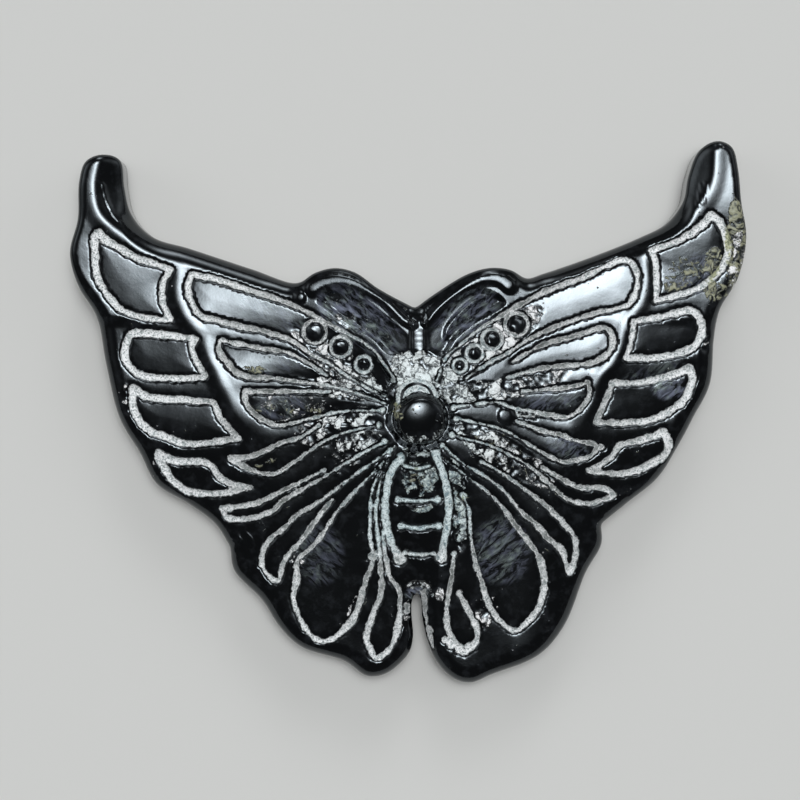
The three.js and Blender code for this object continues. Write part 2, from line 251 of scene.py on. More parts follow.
LONG_CELLS = [
    "-1,2.5 -1.9,3.8 -2.7,4.8 -5.7,6.5 -7.9,7.7 -9.3,8.3 -10.9,8.8 -12.4,9.3 -13.9,9.8"
    " -16,10.3 | -16.3,9.4 -16.1,8.4 -15.4,7.2 -14.3,6.9 -12.4,6.4 -10.9,6.1 -9,5.5"
    " -8.2,5.1 -7.3,4.4 -5.9,3.7 -4.6,2.8 -3.1,1.9 -1.7,1.2",
    "-6,2.8 -7.9,4 -9,4.5 -10.9,4.8 -12,5 -13.9,5.4 | -14,4.7 -13.4,3.8 -12.7,3 -12,2.7"
    " -10.2,2.6 -7.9,2.3 -6.4,2.1 -4.6,1.7 -2.7,1.1 -1.7,0.7",
    "-5.8,1.6 -12.1,1.6 | -12,0.8 -11.5,0.1 -10.7,-0.5 -9.6,-0.9 -7.6,-0.5 -5,0.1"
    " -1.9,0.2",
    "-6.6,-0.9 -8,-1.8 -9.6,-2.3 -11.1,-3 -12.1,-3.3 -13.2,-3.3 | -12.4,-3.8 -11.5,-4.3"
    " -10.4,-4.5 -9.6,-4.4 -8.7,-3.8 -6.2,-2.1 -4.6,-1.4 -2.2,-0.9",
    "-6.2,-4.2 -8.4,-5.3 -9.6,-5.9 -10.6,-6.4 -11.3,-6.7 -12.3,-6.9 -13.9,-7.1 |"
    " -13.4,-7.8 -11.6,-7.8 -10.2,-7.3 -9.1,-6.4 -6.2,-4.7 -3.6,-3.1 -1.7,-2.1",
    "-5.6,-6.4 -6.5,-7.5 -7.9,-9.4 -8.4,-10 -8.8,-10.4 -9.3,-11.2 -9.6,-12.5 |"
    " -10.3,-12.2 -10.8,-11.4 -10.9,-10.8 -10.7,-10.1 -10.2,-9.3 -9.3,-8.6 -8.2,-7.5"
    " -6.8,-6.7 -4,-4.6 -1.3,-2.7",
    "2.1,2.4 2.8,4.1 3.9,5.1 5.4,6.3 6.9,7.2 8.4,8.1 9.9,8.9 12.6,9.9 16.2,11.3"
    " 16.9,10.4 16.9,9.2 16.4,8.1 15.7,7.8 14.2,7.5 12.6,7 10.7,6.3 8.8,5.4 7.3,4.4"
    " 6.1,3.8 4.3,2.6",
    "7.7,3.8 9.9,5 12.6,5.8 14.6,6.3 15.1,5.7 15,4.7 14.2,4 13.6,3.7 12.7,3.6 9.9,3.3"
    " 7.3,2.6",
    "8.4,1.6 12.5,2 13.3,2.3 | 13.4,1.3 12.7,0.3 11.8,-0.3 10.7,-0.2 9.2,0.1 7.7,0.4"
    " 6.5,0.8 4.6,0.6 3.3,0.4",
    "3.6,-0.4 5.4,-0.8 6.9,-1.2 8.4,-2 9.9,-2.9 11.4,-3.6 12.3,-3.5 13.5,-3.2 14,-2.5 |"
    " 13.7,-2.3 12.3,-2 11.2,-1.6 9.9,-1.3 8,-0.6",
    "3.2,-1.6 4.6,-2 6.1,-2.4 7.7,-3.2 9.2,-4.1 10.3,-5.1 11.4,-6.1 12.3,-6.6 13.5,-6.7"
    " 14.6,-6.4 15.3,-6.1 | 14.6,-5.6 12.7,-5.5 11.4,-4.9 9.9,-4",
    "5.4,-3.6 6.9,-4.4 8.4,-5.5 9.9,-6.6 11.2,-7.8 12.3,-9.2 12.5,-10.2 12.3,-11.1"
    " 12,-11.9 | 11.7,-11.1 11.4,-10.2 10.8,-9.6 10.3,-9.2 9.7,-8.5 8.4,-7.3 6.9,-5.6"
    " 5.4,-4.5 3.9,-3.6 2.5,-2.3",
]
TAIL_LINES = [
    "-1,-2.4 -2,-3.8 -3.4,-5.2 -5.2,-7.2 -6.3,-8.9 -7.4,-10.2 -8.2,-10.9 -8.3,-12.5"
    " -8.5,-13.2 -8.5,-14 -8.2,-14.9 -7.7,-15.9 -6.9,-16.8 -6.3,-17 -5.6,-16.8 -4.6,-15.9"
    " -3.9,-14.9 -3.5,-13.6 -3.1,-12.2 -2.8,-11.5 -2.6,-10.5 -2.8,-9.5 -2.8,-7.2"
    " -2.7,-5.8 -2.1,-4.2",
    "1.7,-2.8 3.2,-3.8 4.5,-4.8 5.8,-5.8 6.9,-6.9 8,-8.4 8.9,-9.5 9.7,-10.7 10.1,-12.1"
    " 10,-13.5 9.5,-14.8 8.7,-15.7 8,-16.2 7.2,-15.8 6.4,-14.9 5.9,-14 5.5,-12.7"
    " 5.1,-11.5 4.8,-10.2 4.6,-8.7 4.5,-7.2 4.1,-6.2",
    "-2.1,-11.2 -2,-13.2 -2.5,-14.6 -2.9,-15.8 -3.1,-16.8 -2.8,-17.6 -2.4,-18.2"
    " -1.5,-17.7 -1,-16.8 -0.7,-15.5 -0.6,-14.1 -0.7,-13 -1.3,-12.3 -1.6,-11 -1.8,-9.8 -1.85,-8.8",
    "3.4,-10.4 3.2,-12.2 2.9,-14.1 2.9,-15.8 3.3,-16.8 4.1,-17.8 5.1,-16.9 5.1,-16"
    " 4.6,-14.9 3.8,-13.4",
    "-1.3,-3.1 -1.9,-4.4 -2.2,-5.8 -2.4,-7.2 -2.3,-8.8 -2.1,-10.3 -2,-11.8",
]
STRANDS = [
    "-0.5,-3.3 -1.25,-4.3 -1.6,-5.8 -1.7,-7.2 -1.5,-8.8 -1.05,-10 -0.7,-10.7",
    "2,-3 2.5,-4.3 2.9,-5.8 3,-7.2 2.8,-8.8 2.6,-9.9 2.5,-10.6",
]
SMALL_LOOP = "7.95,0.3 9.35,0.1 | 9.4,-0.3 | 8.1,-0.2 | 7.95,0.3"
CROSS_LINES = [
    "-0.3,-3.9 0.7,-4.1 1.6,-3.9",
    "-0.8,-6.4 0.7,-6.5 2.2,-6.4",
    "-0.6,-8.3 0.8,-8.5 2.3,-8.3",
    "-0.2,-10.4 0.8,-10.5 1.9,-10.4",
]
SLIT_ARCHES = [
    "-0.35,-13.3 -0.1,-12.85 0.35,-12.62 0.85,-12.57 1.35,-12.75 1.7,-13.15 1.85,-13.5",
    "0.0,-13.3 0.3,-12.98 0.8,-12.9 1.2,-13.05 1.42,-13.4",
]
SLIT_WALLS = [
    "1.12,-13.3 1.22,-14.2 1.3,-15.1 1.42,-15.8",
    "1.55,-16.0 1.62,-16.4 1.72,-16.9 1.9,-17.6",
]
RINGS = [
    (-6.9, 6, 0.85), (-5, 4.9, 0.75), (-3.3, 3.6, 0.6),
    (8, 6.55, 0.85), (6.2, 5.45, 0.75), (4.9, 4.4, 0.62), (3.8, 3.5, 0.5),
]
BULBS = [
    (-0.6, -10.8, 0.48), (2.45, -10.7, 0.45), (-0.75, -6.4, 0.3), (2.2, -6.4, 0.28),
    (-0.5, -8.35, 0.26), (2.25, -8.35, 0.26), (-0.25, -10.4, 0.26), (4.1, -6.1, 0.3),
    (-2.6, -10.6, 0.4), (-0.08, -14.35, 0.28), (-0.1, -14.75, 0.27), (-1.9, 0.2, 0.25),
    (-2.2, -0.9, 0.24), (-1.75, -2.05, 0.24), (-1.3, -2.7, 0.22), (-0.55, -3.25, 0.34),
    (2.05, -3.0, 0.36), (2.5, -2.4, 0.22), (14.3, -2.5, 0.26), (3.2, -1.6, 0.26),
    (3.6, -0.45, 0.26), (3.35, 0.4, 0.26), (-1.1, 2.4, 0.22), (2.75, -16.85, 0.3),
    (3.2, -17.2, 0.4), (3.8, -17.55, 0.4), (4.5, -17.45, 0.38),
]
print("cells:", len(OUTER_CELLS) + len(LONG_CELLS), "rings:", len(RINGS), "ends:", len(BULBS))

# %% [markdown]
# ### Widths
# The width of a line comes from its place: thin near the head, where the wheel was turned
# on its edge, and broad round the outer cells. A cut by hand is never even, so it wanders.


# %% Widths of the lines
# From thin to broad in mm from the head, and the two noises of the wander
BROADENING = (3, 16)
WANDER = (0.6, 0.9, 3), (0.4, 0.33, 4)


def circle(x, y, radius, step=0.1):
    """A closed ring of points: the middle plus the radius times the cosine and the sine."""
    turn = np.linspace(0, 2 * np.pi, max(10, round(2 * np.pi * radius / step)))
    return np.stack([x + radius * np.cos(turn), y + radius * np.sin(turn)], axis=1)


def widths(path, thin, broad, wander):
    """Width along a line: from thin at the head to broad at the wing's margin, with slow
    waves and finer nicks that the wheel left."""
    width = thin + (broad - thin) * ramp(away(*path.T, HEAD), *BROADENING)
    return width * (1 + wander * mottle(*path.T, *WANDER))


# Middle lines, with the width at the head and at the margin, and how far it wanders
KINDS = [
    (map(stroke, OUTER_CELLS), 0.3, 0.5, 0.16),
    (map(stroke, LONG_CELLS), 0.2, 0.46, 0.36),
    (map(stroke, TAIL_LINES), 0.16, 0.5, 0.42),
    (map(stroke, STRANDS), 0.6, 0.6, 0.16),
    (map(stroke, CROSS_LINES), 0.3, 0.3, 0.45),
    ([circle(*ring) for ring in RINGS], 0.3, 0.3, 0.3),
    ([stroke(SMALL_LOOP, 0.06)], 0.18, 0.18, 0.1),
    (map(stroke, SLIT_ARCHES), 0.14, 0.14, 0.2),
]
lines = [(path, widths(path, *sizes)) for paths, *sizes in KINDS for path in paths]
# The outer cells' lines are broader on the side of the margin, which begins at these
# percentiles of their points' distance from the middle, and the slit's walls taper
MARGIN_MORE, MARGIN_SIDE = 0.13, (35, 85)
WALL_WIDTH, WALL_TAPER = 0.5, 0.36
for path, width in lines[:len(OUTER_CELLS)]:
    out = np.hypot(*path.T)
    width += MARGIN_MORE * ramp(out, *np.percentile(out, MARGIN_SIDE))
for path in map(stroke, SLIT_WALLS):
    lines.append((path, WALL_WIDTH - WALL_TAPER * np.linspace(0, 1, len(path)) ** 2))
print("ground lines:", len(lines), "length in mm:",
      round(sum(np.linalg.norm(np.diff(p, axis=0), axis=1).sum() for p, w in lines)))


# %% Distance to the nearest ground line
# A line is looked for up to its reach, and beyond all of them the distance is set far off
LINE_REACH, FAR_OFF = 1.6, 9.0


def ground_distance(points):
    """Distance in mm to the edge of the nearest ground line: each line's distance less
    half its width at the foot, and the smallest of them. Below zero is in a line."""
    best = np.full(len(points), FAR_OFF)
    for path, width in lines:
        near = box_round(points, path, LINE_REACH)
        if len(near):
            far, at, _ = nearest(points[near], path)
            half = np.interp(at, np.linspace(0, 1, len(path)), width) / 2
            best[near] = np.minimum(best[near], far - half)
    for *middle, radius in BULBS:
        best = np.minimum(best, away(*points.T, middle) - radius)
    return best


sample = np.array([[0.9, -4.0], [-8.0, 7.7], [-20.0, 9.5]])
print("distance to the lines at three places in mm:", ground_distance(sample).round(2))

# %% [markdown]
# ## Relief
# The face is a low swell, thickest at the head and rounded over at the rim. On it stand the
# ribs of the wings, the two antennae, the neck, the round head in its moat and the ringed
# abdomen. It could be sculpted by hand, but every form here has one height over each point
# of the plan. So it is worked out as a function of x and y, which can be measured and
# changed, and the forms are added up. A pair of numbers for a ramp is two places in mm,
# where something begins and where it is full.

# %% Swell and rounded edge
RIM_TOP = 5.5
SHOULDER = 1.2
SWELL = 1.0
SWELL_X = 0.7
SWELL_REACH = (5.5, 9.0)
TAIL_START, TAIL_EASE, TAIL_SLOPE = 1, 6, 0.085
# The edge's radius is smaller at the horns and the lobes, and larger along the front
EDGE_CUT, EDGE_MORE = 0.65, 0.25


def swell(x, y):
    """A low dome over the body: the bell curve of the distance from the head, shorter
    across the wings than along the body."""
    across, along = (x - SWELL_X) / SWELL_REACH[0], y / SWELL_REACH[1]
    return SWELL * np.exp(-0.5 * (across**2 + along**2))


def eased(distance, ease):
    """A slope of one that sets in over the given length: the square over twice the length
    at first, and then the distance less half the length."""
    d = np.clip(distance, 0, None)
    return np.where(d < ease, d**2 / (2 * ease), d - ease / 2)


def edge_radius(points):
    """Radius of the rounded edge: small round the horns and the two lobes, larger along
    the leading edge of the wings."""
    x, y = np.abs(points[:, 0]), points[:, 1]
    horn = np.maximum(ramp(y, 6, 12) * ramp(x, 20.5, 22.5), ramp(y, 14, 16))
    lobe = ramp(y, 6.8, 8) * ramp(-x, -9, -7.5)
    leading = ramp(y, 8, 9.5) * ramp(x, 9.5, 11) * (1 - horn)
    return SHOULDER - EDGE_CUT * np.maximum(horn, lobe) + EDGE_MORE * leading


def shoulder(inset, radius):
    """How far the quarter-round edge has dropped at a distance in from the outline."""
    across = np.clip(radius - inset, 0, radius * 0.9999)
    return radius - np.sqrt(radius**2 - across**2)


print("edge radius at a horn, on the front and at the tail in mm:",
      edge_radius(np.array([[23, 18], [12, 11], [3, -19]])).round(2))

# %% [markdown]
# ### Ribs, ridges and knobs
# A long rounded rib runs down each wing between the outer and the inner cells. It was left
# standing when the stone beside it was cut back, and outside it the wing falls away to its
# margin. The antennae are rolled ridges on the two lobes, and the neck and a few thin folds
# by the horns and waists are ridges too. A line and a section across it describe them all.

# %% Ribs, ridges and knobs
# Wing ribs: middle line, half width and rise
RIBS = [
    ("-23.15,18.6 -23.45,16.8 -23.1,14.8 -22.2,13.7 -20.4,12.3 -18.3,11.3 -17.2,10.4"
     " -17,8.6 -16.1,6.5 -15.2,5 -14.5,3.2 -13.6,1.3 -12.4,-0.5 -10.8,-1.6", 0.95, 0.05),
    ("22.9,19.3 22.75,17.4 22.2,15.9 20.7,14 19,12.9 17.6,11.6 17.5,9.4 16.8,7.6 15.8,5.8"
     " 15.1,3.9 14.2,2.4 13.4,0.2", 0.95, 0.05),
]
ribs = [(stroke(text, 0.25), half, rise) for text, half, rise in RIBS]
# The same lines carried on to the tail, outside which the face falls away to the margin.
# After each: how far outside that starts on the forewing and on the hindwing, and the
# slope on the wing and at the horn.
FALLS = [
    (" -9.6,-5 -8.6,-9 -7.6,-14 -7,-19", (-0.65, -0.65), (0.075, 0.04)),
    (" 12.2,-4 10.6,-9 9.4,-14 8.6,-19", (0.5, -0.9), (0.12, 0.09)),
]
falls = [(stroke(rib[0] + end, 0.25), *fall) for rib, (end, *fall) in zip(RIBS, FALLS)]
# How the rib sets in, and the fall: from the hindwing to the forewing, outwards, upwards,
# at the horn and on the hindwing, where it is a little steeper
RIB_SPAN = (-2, 3)
TO_FOREWING = (0, 5)
FALL_OUT, FALL_UP, FALL_EASE = (8, 12.5), (-17, -12), 0.3
TO_HORN = (6.3, 7.3)
TO_HINDWING, HINDWING_MORE = (1, 5), 0.03
# The hollow inner edge of a horn
HORN_UP, HORN_OUT = (12.2, 14.5), (18, 20)
HOLLOW_START, HOLLOW_SLOPE, HOLLOW_EASE = 0.05, 0.42, 0.7
# Rolled ridges: middle line, half width of the flat top at both ends, fall beside it, rise
RIDGES = [
    ("-7.05,9.25 -6.4,9.6 -5.2,9.8 -4.1,9.6 -2.9,9 -1.7,8.2 -0.4,6.95 0.3,6.5",
     0.4, 0.12, 0.32, 0.26),
    ("7.45,9.45 6.9,9.85 5.9,10 4.6,9.5 3.1,8.5 2,7.5 1.3,6.6", 0.38, 0.1, 0.3, 0.26),
    ("0.72,7 0.75,4.8", 0.48, 0.42, 0.2, 0.24),
    ("-22.55,16.9 -22.4,16.1 -22.15,15.35", 0.0, 0.0, 0.16, 0.09),
    ("-22.1,15.3 -21.85,14.75 -21.4,14.2", 0.0, 0.0, 0.16, 0.09),
    ("21.75,16.9 21.6,16.2 21.45,15.4", 0.0, 0.0, 0.15, 0.09),
    ("22.05,17 21.95,16.3 21.75,15.5", 0.0, 0.0, 0.15, 0.07),
    ("2.7,5.6 2.9,6.3 3.7,7.3 4.9,8.35 5.9,8.6", 0.04, 0.04, 0.16, 0.07),
    ("-13.2,-9.1 -12.9,-9.6 -12.95,-10.3", 0.0, 0.0, 0.14, 0.06),
    ("-12.75,-9.0 -12.45,-9.5 -12.5,-10.1", 0.0, 0.0, 0.14, 0.06),
    ("-12.1,-8.9 -11.7,-9.2 -11.6,-9.7", 0.0, 0.0, 0.14, 0.05),
    ("13.9,-8.6 14.1,-8.1 14.5,-7.75", 0.0, 0.0, 0.14, 0.06),
    ("16.4,-6.3 17.2,-5.7 18.3,-4.9", 0.0, 0.0, 0.16, 0.06),
]
# How much sooner than its end a flat top has its last width, and how its sides round off
RIDGE_TAPER, RIDGE_ROUNDING = 1.6, 0.3
# Small round knobs: x, y, radius and rise
KNOBS = [(7.2, -0.2, 0.62, 0.1), (-8.0, 8.55, 0.45, 0.14), (14.2, -2.5, 0.35, 0.1)]
KNOBS += [(x, y, radius - 0.16, 0.16) for x, y, radius in RINGS]


def raised(points, top):
    """The two wing ribs are rounded bars: the square of a cosine across the half width.
    The face falls away to the margin at an even slope, which starts on the inner side of
    the left rib and on the outer side of the upper right one. Inside the horns it falls to
    their hollow edge. A ridge is level across its flat top and falls by a smooth step. A
    knob has a flat crown: the root of one less the fourth power of the distance."""
    for (path, half, rise), (carried, starts, slopes) in zip(ribs, falls):
        near = np.flatnonzero(points[:, 0] * path[0, 0] > 0)
        x, y = points[near].T
        far = nearest(points[near], path)[0]
        bar = np.cos(np.minimum(far / half, 1) * np.pi / 2) ** 2
        top[near] += rise * ramp(y, *RIB_SPAN) * bar
        far, _, side = nearest(points[near], carried)
        outer = side * path[0, 0] > 0
        start = np.interp(ramp(y, *TO_FOREWING), (0, 1), starts[::-1])
        past = np.where(outer, far, -far) - start
        beyond = (past + np.hypot(past, FALL_EASE)) / 2
        beyond *= ramp(np.abs(x), *FALL_OUT) * ramp(-y, *FALL_UP)
        slope = np.interp(ramp(y, *TO_HORN), (0, 1), slopes)
        top[near] -= beyond * (slope + HINDWING_MORE * ramp(-y, *TO_HINDWING))
        horn = ramp(y, *HORN_UP) * ramp(np.abs(x), *HORN_OUT) * HOLLOW_SLOPE
        top[near] -= np.where(outer, 0, horn * eased(far - HOLLOW_START, HOLLOW_EASE))
    for text, start, end, fall, rise in RIDGES:
        path = stroke(text, 0.2)
        reach = max(start, end) + fall
        near = box_round(points, path, reach)
        far, at, _ = nearest(points[near], path)
        flat = start + (end - start) * np.minimum(at * RIDGE_TAPER, 1)
        rounded = 1 - RIDGE_ROUNDING * (far / reach) ** 2
        top[near] += rise * (1 - ramp(far, flat, flat + fall)) * rounded
    for *middle, radius, rise in KNOBS:
        top += rise * np.sqrt(1 - np.minimum(away(*points.T, middle) / radius, 1) ** 4)
    return top


print("ribs:", len(RIBS), "ridges:", len(RIDGES), "knobs:", len(KNOBS))

# %% [markdown]
# ### Abdomen and fields
# The abdomen is a half-round bar whose rings overlap like tiles, and its lower edges catch
# the light. The polished fields between the lines aren't level with each other: each was
# rubbed at its own slight slope, so one mirrors the lamp and the next stays black.

# %% Abdomen and fields
ABDOMEN_X, ABDOMEN_BROADEST = 0.8, -7
ABDOMEN_HALF, ABDOMEN_TAPER = 1.5, 0.035
ABDOMEN_TAIL, ABDOMEN_TOP = (-13, -12.3), (2.6, 3.2)
ABDOMEN_RISE, TILE_RISE = 0.22, 0.26
TILE, TILE_AT, TILE_LIP = 2.05, -10.4, 0.88
FIELD_EASE = 0.35
# Polished fields: border, step up or down, slope to the right, slope away, and how much
# the slope away grows to the right
FIELDS = [
    ("-6.8,8.2 -5.9,9 -4.9,9.1 -3.5,8.6 -2,7.5 -0.5,6.3 0.15,5.7 0.15,4.6 -1.4,4.3"
     " -2.7,5.5 -5.4,7.2 -6.8,8.2", -0.3, 0.1, 0.03, 0),
    ("1.3,4.6 1.3,5.8 2,6.8 3.2,8.2 5,9.2 6.2,9 7.2,8.2 5,6.7 3.5,5.4 2.6,4.2 1.3,4.6",
     -0.3, -0.1, 0.03, 0),
    ("2.6,5.4 2.6,6.2 3.6,7.5 5.1,8.6 5.8,8.4 6.1,7.6 4.7,6.2 3.3,5.0 2.6,5.4",
     0.06, -0.06, 0.05, 0),
    (0, 0, -0.045, 0.08, 0.02),
    (1, 0, -0.05, 0.08, 0.045),
    (2, 0, 0, 0.08, 0.0),
    (3, 0, 0, 0.05, 0.0),
    (8, 0, 0, 0.09, 0.0),
]


def abdomen(x, y):
    """A half-round bar down the middle whose rings overlap like tiles: half a circle
    across the body, times a slope that rises towards the head and drops at each ring."""
    half = ABDOMEN_HALF - ABDOMEN_TAPER * np.abs(y - ABDOMEN_BROADEST)
    bar = np.sqrt(np.clip(1 - ((x - ABDOMEN_X) / half) ** 2, 0, 1))
    bar *= ramp(y, *ABDOMEN_TAIL) * ramp(-y, *ABDOMEN_TOP)
    tile = (y - TILE_AT) / TILE % 1
    return bar * (ABDOMEN_RISE + TILE_RISE * tile * ramp(-tile, -1, -TILE_LIP))


def inside(points, path):
    """True inside a closed line: a level ray to the right crosses it an odd number of
    times."""
    x, y = points[:, :1], points[:, 1:]
    (x0, y0), (x1, y1) = path[:-1].T, path[1:].T
    spans = (y0 > y) != (y1 > y)
    meet = x0 + (y - y0) * (x1 - x0) / np.where(y1 == y0, 1, y1 - y0)
    return ((spans & (x < meet)).sum(1) % 2) == 1


def fields(points, top):
    """Each field is stepped and tilted, eased in from its border. A field that is named by
    a number has that long cell's line for its border."""
    for border, rise, slope_x, slope_y, twist in FIELDS:
        path = stroke(LONG_CELLS[border] if isinstance(border, int) else border)
        near = box_round(points, path, 0)
        near = near[inside(points[near], np.vstack([path, path[:1]]))]
        far = nearest(points[near], path)[0]
        x, y = (points[near] - path.mean(0)).T
        step = rise + slope_x * x + (slope_y + twist * x) * y
        top[near] += step * ramp(far, 0, FIELD_EASE)
    return top


print("fields with a slope of their own:", len(FIELDS))

# %% [markdown]
# ### Flaked places, clouds and inclusions
# Where many strokes run together the wheel lifted flakes, most of all between the neck, the
# rings and the bead. Such places, the violet clouds and the greenish inclusions are marked
# by ellipses here, and noise gives them their ragged shapes later.

# %% Places of flakes, clouds and inclusions
# Rough places: middle x and y, half sizes, turn in degrees and strength. Below 0.7 a
# place is flecked, and near 1 it is frosted all over.
CRUST = [
    (0.5, 3.0, 2.4, 1.8, 0, 0.88), (6.05, 5.0, 5.2, 1.4, 36, 0.92),
    (8.0, 2.0, 4.8, 1.0, 15, 0.54), (4.6, 1.5, 3.2, 0.9, 8, 0.72),
    (-5.3, 3.8, 4.8, 1.3, -38, 0.72), (-5.0, 1.8, 3.4, 0.9, -8, 0.64),
    (-5.2, -0.9, 3.8, 1.8, 12, 0.5), (-4.5, -3.2, 3.6, 1.1, 35, 0.46),
    (-8.5, 0.4, 3.2, 1.8, 0, 0.32), (7.0, -3.0, 5.0, 1.4, -32, 0.6),
    (3.65, -6.6, 0.8, 4.0, 4, 0.9), (-2.1, -6.4, 0.7, 3.6, 0, 0.6),
    (0.8, -4.9, 1.6, 1.7, 0, 0.74), (0.9, -6.6, 1.3, 0.9, 0, 0.5),
    (-4.3, 7.0, 1.9, 0.9, -38, 0.5), (-8.2, -10.5, 0.8, 1.0, 0, 0.66),
    (5.7, -14.9, 0.9, 1.6, -25, 0.6), (-4.0, -14.6, 0.5, 1.3, -20, 0.6),
    (-0.1, -14.7, 0.45, 0.9, 0, 0.62), (2.5, -13.5, 0.6, 0.6, 0, 0.64),
    (3.2, -16.7, 0.5, 0.7, 0, 0.62), (-1.3, 0.2, 0.5, 1.3, 10, 0.6),
    (0.6, -2.9, 1.6, 0.5, 0, 0.55),
    (24.5, 10.5, 0.9, 3.4, 0, 0.56), (-20.7, 1.0, 0.7, 1.5, 0, 0.54),
    (-18.6, -4.0, 0.6, 1.3, -20, 0.54), (21.9, 5.6, 0.6, 1.4, 10, 0.52),
]
# The same on the bead, which is rougher low down
BEAD_CRUST = [(-0.9, 0.5, 0.35, 0.6, 10, 0.62), (0.4, -1.9, 1.3, 0.45, 0, 0.6),
              (2.2, -1.6, 0.7, 0.5, 40, 0.55), (2.3, -0.4, 0.4, 0.7, 0, 0.5)]
# Violet veins and greenish inclusions in the stone, in the same form
VIOLET = [
    (6.9, -10.2, 2.3, 2.6, 0, 0.75), (-6.6, -10.5, 1.9, 2.4, 0, 0.5),
    (-3.4, 6.8, 3.8, 1.9, -40, 0.9), (4.2, 6.9, 3.2, 1.7, 42, 0.9),
    (10.6, 1.0, 2.6, 0.8, 5, 0.8), (-9.4, 0.5, 2.0, 1.0, 0, 0.7),
    (-9.6, 3.6, 2.4, 0.8, 12, 0.4), (21.2, 10.3, 2.4, 1.8, 0, 0.8),
    (18.3, 3.0, 2.6, 0.8, 10, 0.35), (-5.0, 7.3, 2.2, 1.2, -38, 1.5),
    (-9.8, 7.3, 3.0, 1.0, -24, 0.5), (11.8, -2.6, 1.8, 0.8, -20, 0.9),
    (19.3, 1.9, 1.4, 1.0, 0, 1.2), (0.65, -13.4, 0.9, 0.5, 0, 2.5),
]
MOSS = [
    (24.3, 12.3, 0.9, 4.4, 0, 1.2), (22.5, 11.0, 0.8, 1.7, -12, 1.0),
    (19.7, 9.7, 1.2, 0.8, 0, 0.75), (21.0, 10.4, 2.2, 1.4, 0, 0.6),
    (-11.4, 3.2, 1.1, 0.35, 0, 0.7), (-10.6, -3.7, 1.0, 0.35, 20, 0.7),
    (22.8, 9.0, 1.2, 0.9, 0, 0.8), (4.1, -6.15, 0.5, 0.5, 0, 0.7),
    (-0.75, 0.1, 0.4, 0.85, 10, 1.0), (7.6, -3.6, 4.8, 1.8, -34, 0.3),
    (-8.6, 0.2, 3.0, 1.0, 0, 0.4), (0.8, -4.6, 1.2, 1.2, 0, 0.45),
]
PLACE_FADE = (0.4, 1.2)


def ellipses(x, y, table):
    """The strongest of the ellipses over each place, full in the middle and fading to
    nothing at the border."""
    most = np.zeros_like(x)
    for cx, cy, a, b, turn, amount in table:
        c, s = math.cos(math.radians(turn)), math.sin(math.radians(turn))
        u, v = ((x - cx) * c + (y - cy) * s) / a, ((y - cy) * c - (x - cx) * s) / b
        most = np.maximum(most, amount * (1 - ramp(u * u + v * v, *PLACE_FADE)))
    return most


print("places:", len(CRUST) + len(BEAD_CRUST), "flaked,", len(VIOLET), "clouded,",
      len(MOSS), "greenish")

# %% [markdown]
# ### Head
# Such a head can be cut with a hollow drill, which leaves a ball in a round moat. Its crown
# is flatter than a ball's, so it mirrors the lamp as a wide soft spot. The frosted hood
# behind it is another, lower ball with grooves round it.

# %% Head
HEAD_RADIUS = 1.95
HEAD_TOP = box_high[2] - 0.004
CROWN_CUT, CROWN_RADIUS, CROWN_EASE = 0.55, 6.2, 0.12
SUMMIT = (0.5, 0.2)
MOAT_FLOOR = 6.0
MOAT_OUTER, MOAT_INNER = 0.62, 0.05
MOAT_BANK = (0.13, 0.8, 11), (0.05, 0.3, 14)
HOOD = (0.65, 0.95)
HOOD_RADIUS, HOOD_FOOT, HOOD_RISE = 1.62, 6.3, 0.75
# The hood's arcs: first one's distance from the middle, their spacing and height
ARC_START, ARC_STEP, ARC_HEIGHT = 0.1, 0.62, 0.02


def hood_arcs(d):
    """A wave round the hood's middle: the sine of the distance in arc spacings."""
    return np.sin(2 * np.pi * (d - ARC_START) / ARC_STEP)


def head(x, y, top):
    """The head stands in a round moat, with a lower frosted hood behind it. It is a ball
    whose crown is cut by a wide low cap with its summit off the middle. The lower of the
    two heights counts, and where they cross the corner is eased by the square root of
    their difference's square plus a small square. Returns the height, where the hood
    shows, and the distance from the middle of the head."""
    r = away(x, y, HEAD)
    bank = r + mottle(x, y, *MOAT_BANK)
    moat = ramp(bank, HEAD_RADIUS + MOAT_OUTER, HEAD_RADIUS + MOAT_INNER)
    top = top * (1 - moat) + MOAT_FLOOR * moat
    d = away(x, y, HOOD)
    hood = HOOD_FOOT + HOOD_RISE * np.sqrt(np.clip(1 - (d / HOOD_RADIUS) ** 2, 0, 1))
    hood += ARC_HEIGHT * hood_arcs(d)
    hooded = (d < HOOD_RADIUS) & (hood > top)
    top = np.where(hooded, hood, top)
    ball = np.sqrt(np.clip(HEAD_RADIUS**2 - r**2, 0, None)) + HEAD_TOP + CROWN_CUT - HEAD_RADIUS
    cap = HEAD_TOP - away(x, y, SUMMIT) ** 2 / (2 * CROWN_RADIUS)
    bead = (ball + cap - np.hypot(ball - cap, CROWN_EASE)) / 2
    shows = (r < HEAD_RADIUS) & (bead > top)
    return np.where(shows, bead, top), hooded & ~shows, r


print("bead in mm:", 2 * HEAD_RADIUS, "across, top at", round(HEAD_TOP, 3))

# %% [markdown]
# ### The whole face
# Between the ground lines each field is softly pillowed by the polishing felt, which rounds
# every edge it meets. The lines are sunk into that, their sides slightly chipped, and the
# flaked places are lumpy.

# %% Height of the carved face
LINE_DEPTH, WALL = 0.24, 0.17
LIP_SINK, LIP_REACH = 0.04, 0.19
PILLOW_SINK, PILLOW_REACH = 0.035, 1.6
# Waves down the neck: their height, length and first place, and the neck's extent
NECK_WAVE, NECK_WAVE_LENGTH, NECK_WAVE_AT = 0.014, 0.8, 4.9
NECK_X, NECK_FOOT, NECK_TOP, NECK_HALF = 0.73, (4.6, 5.1), (-7.4, -6.9), (-0.6, -0.3)
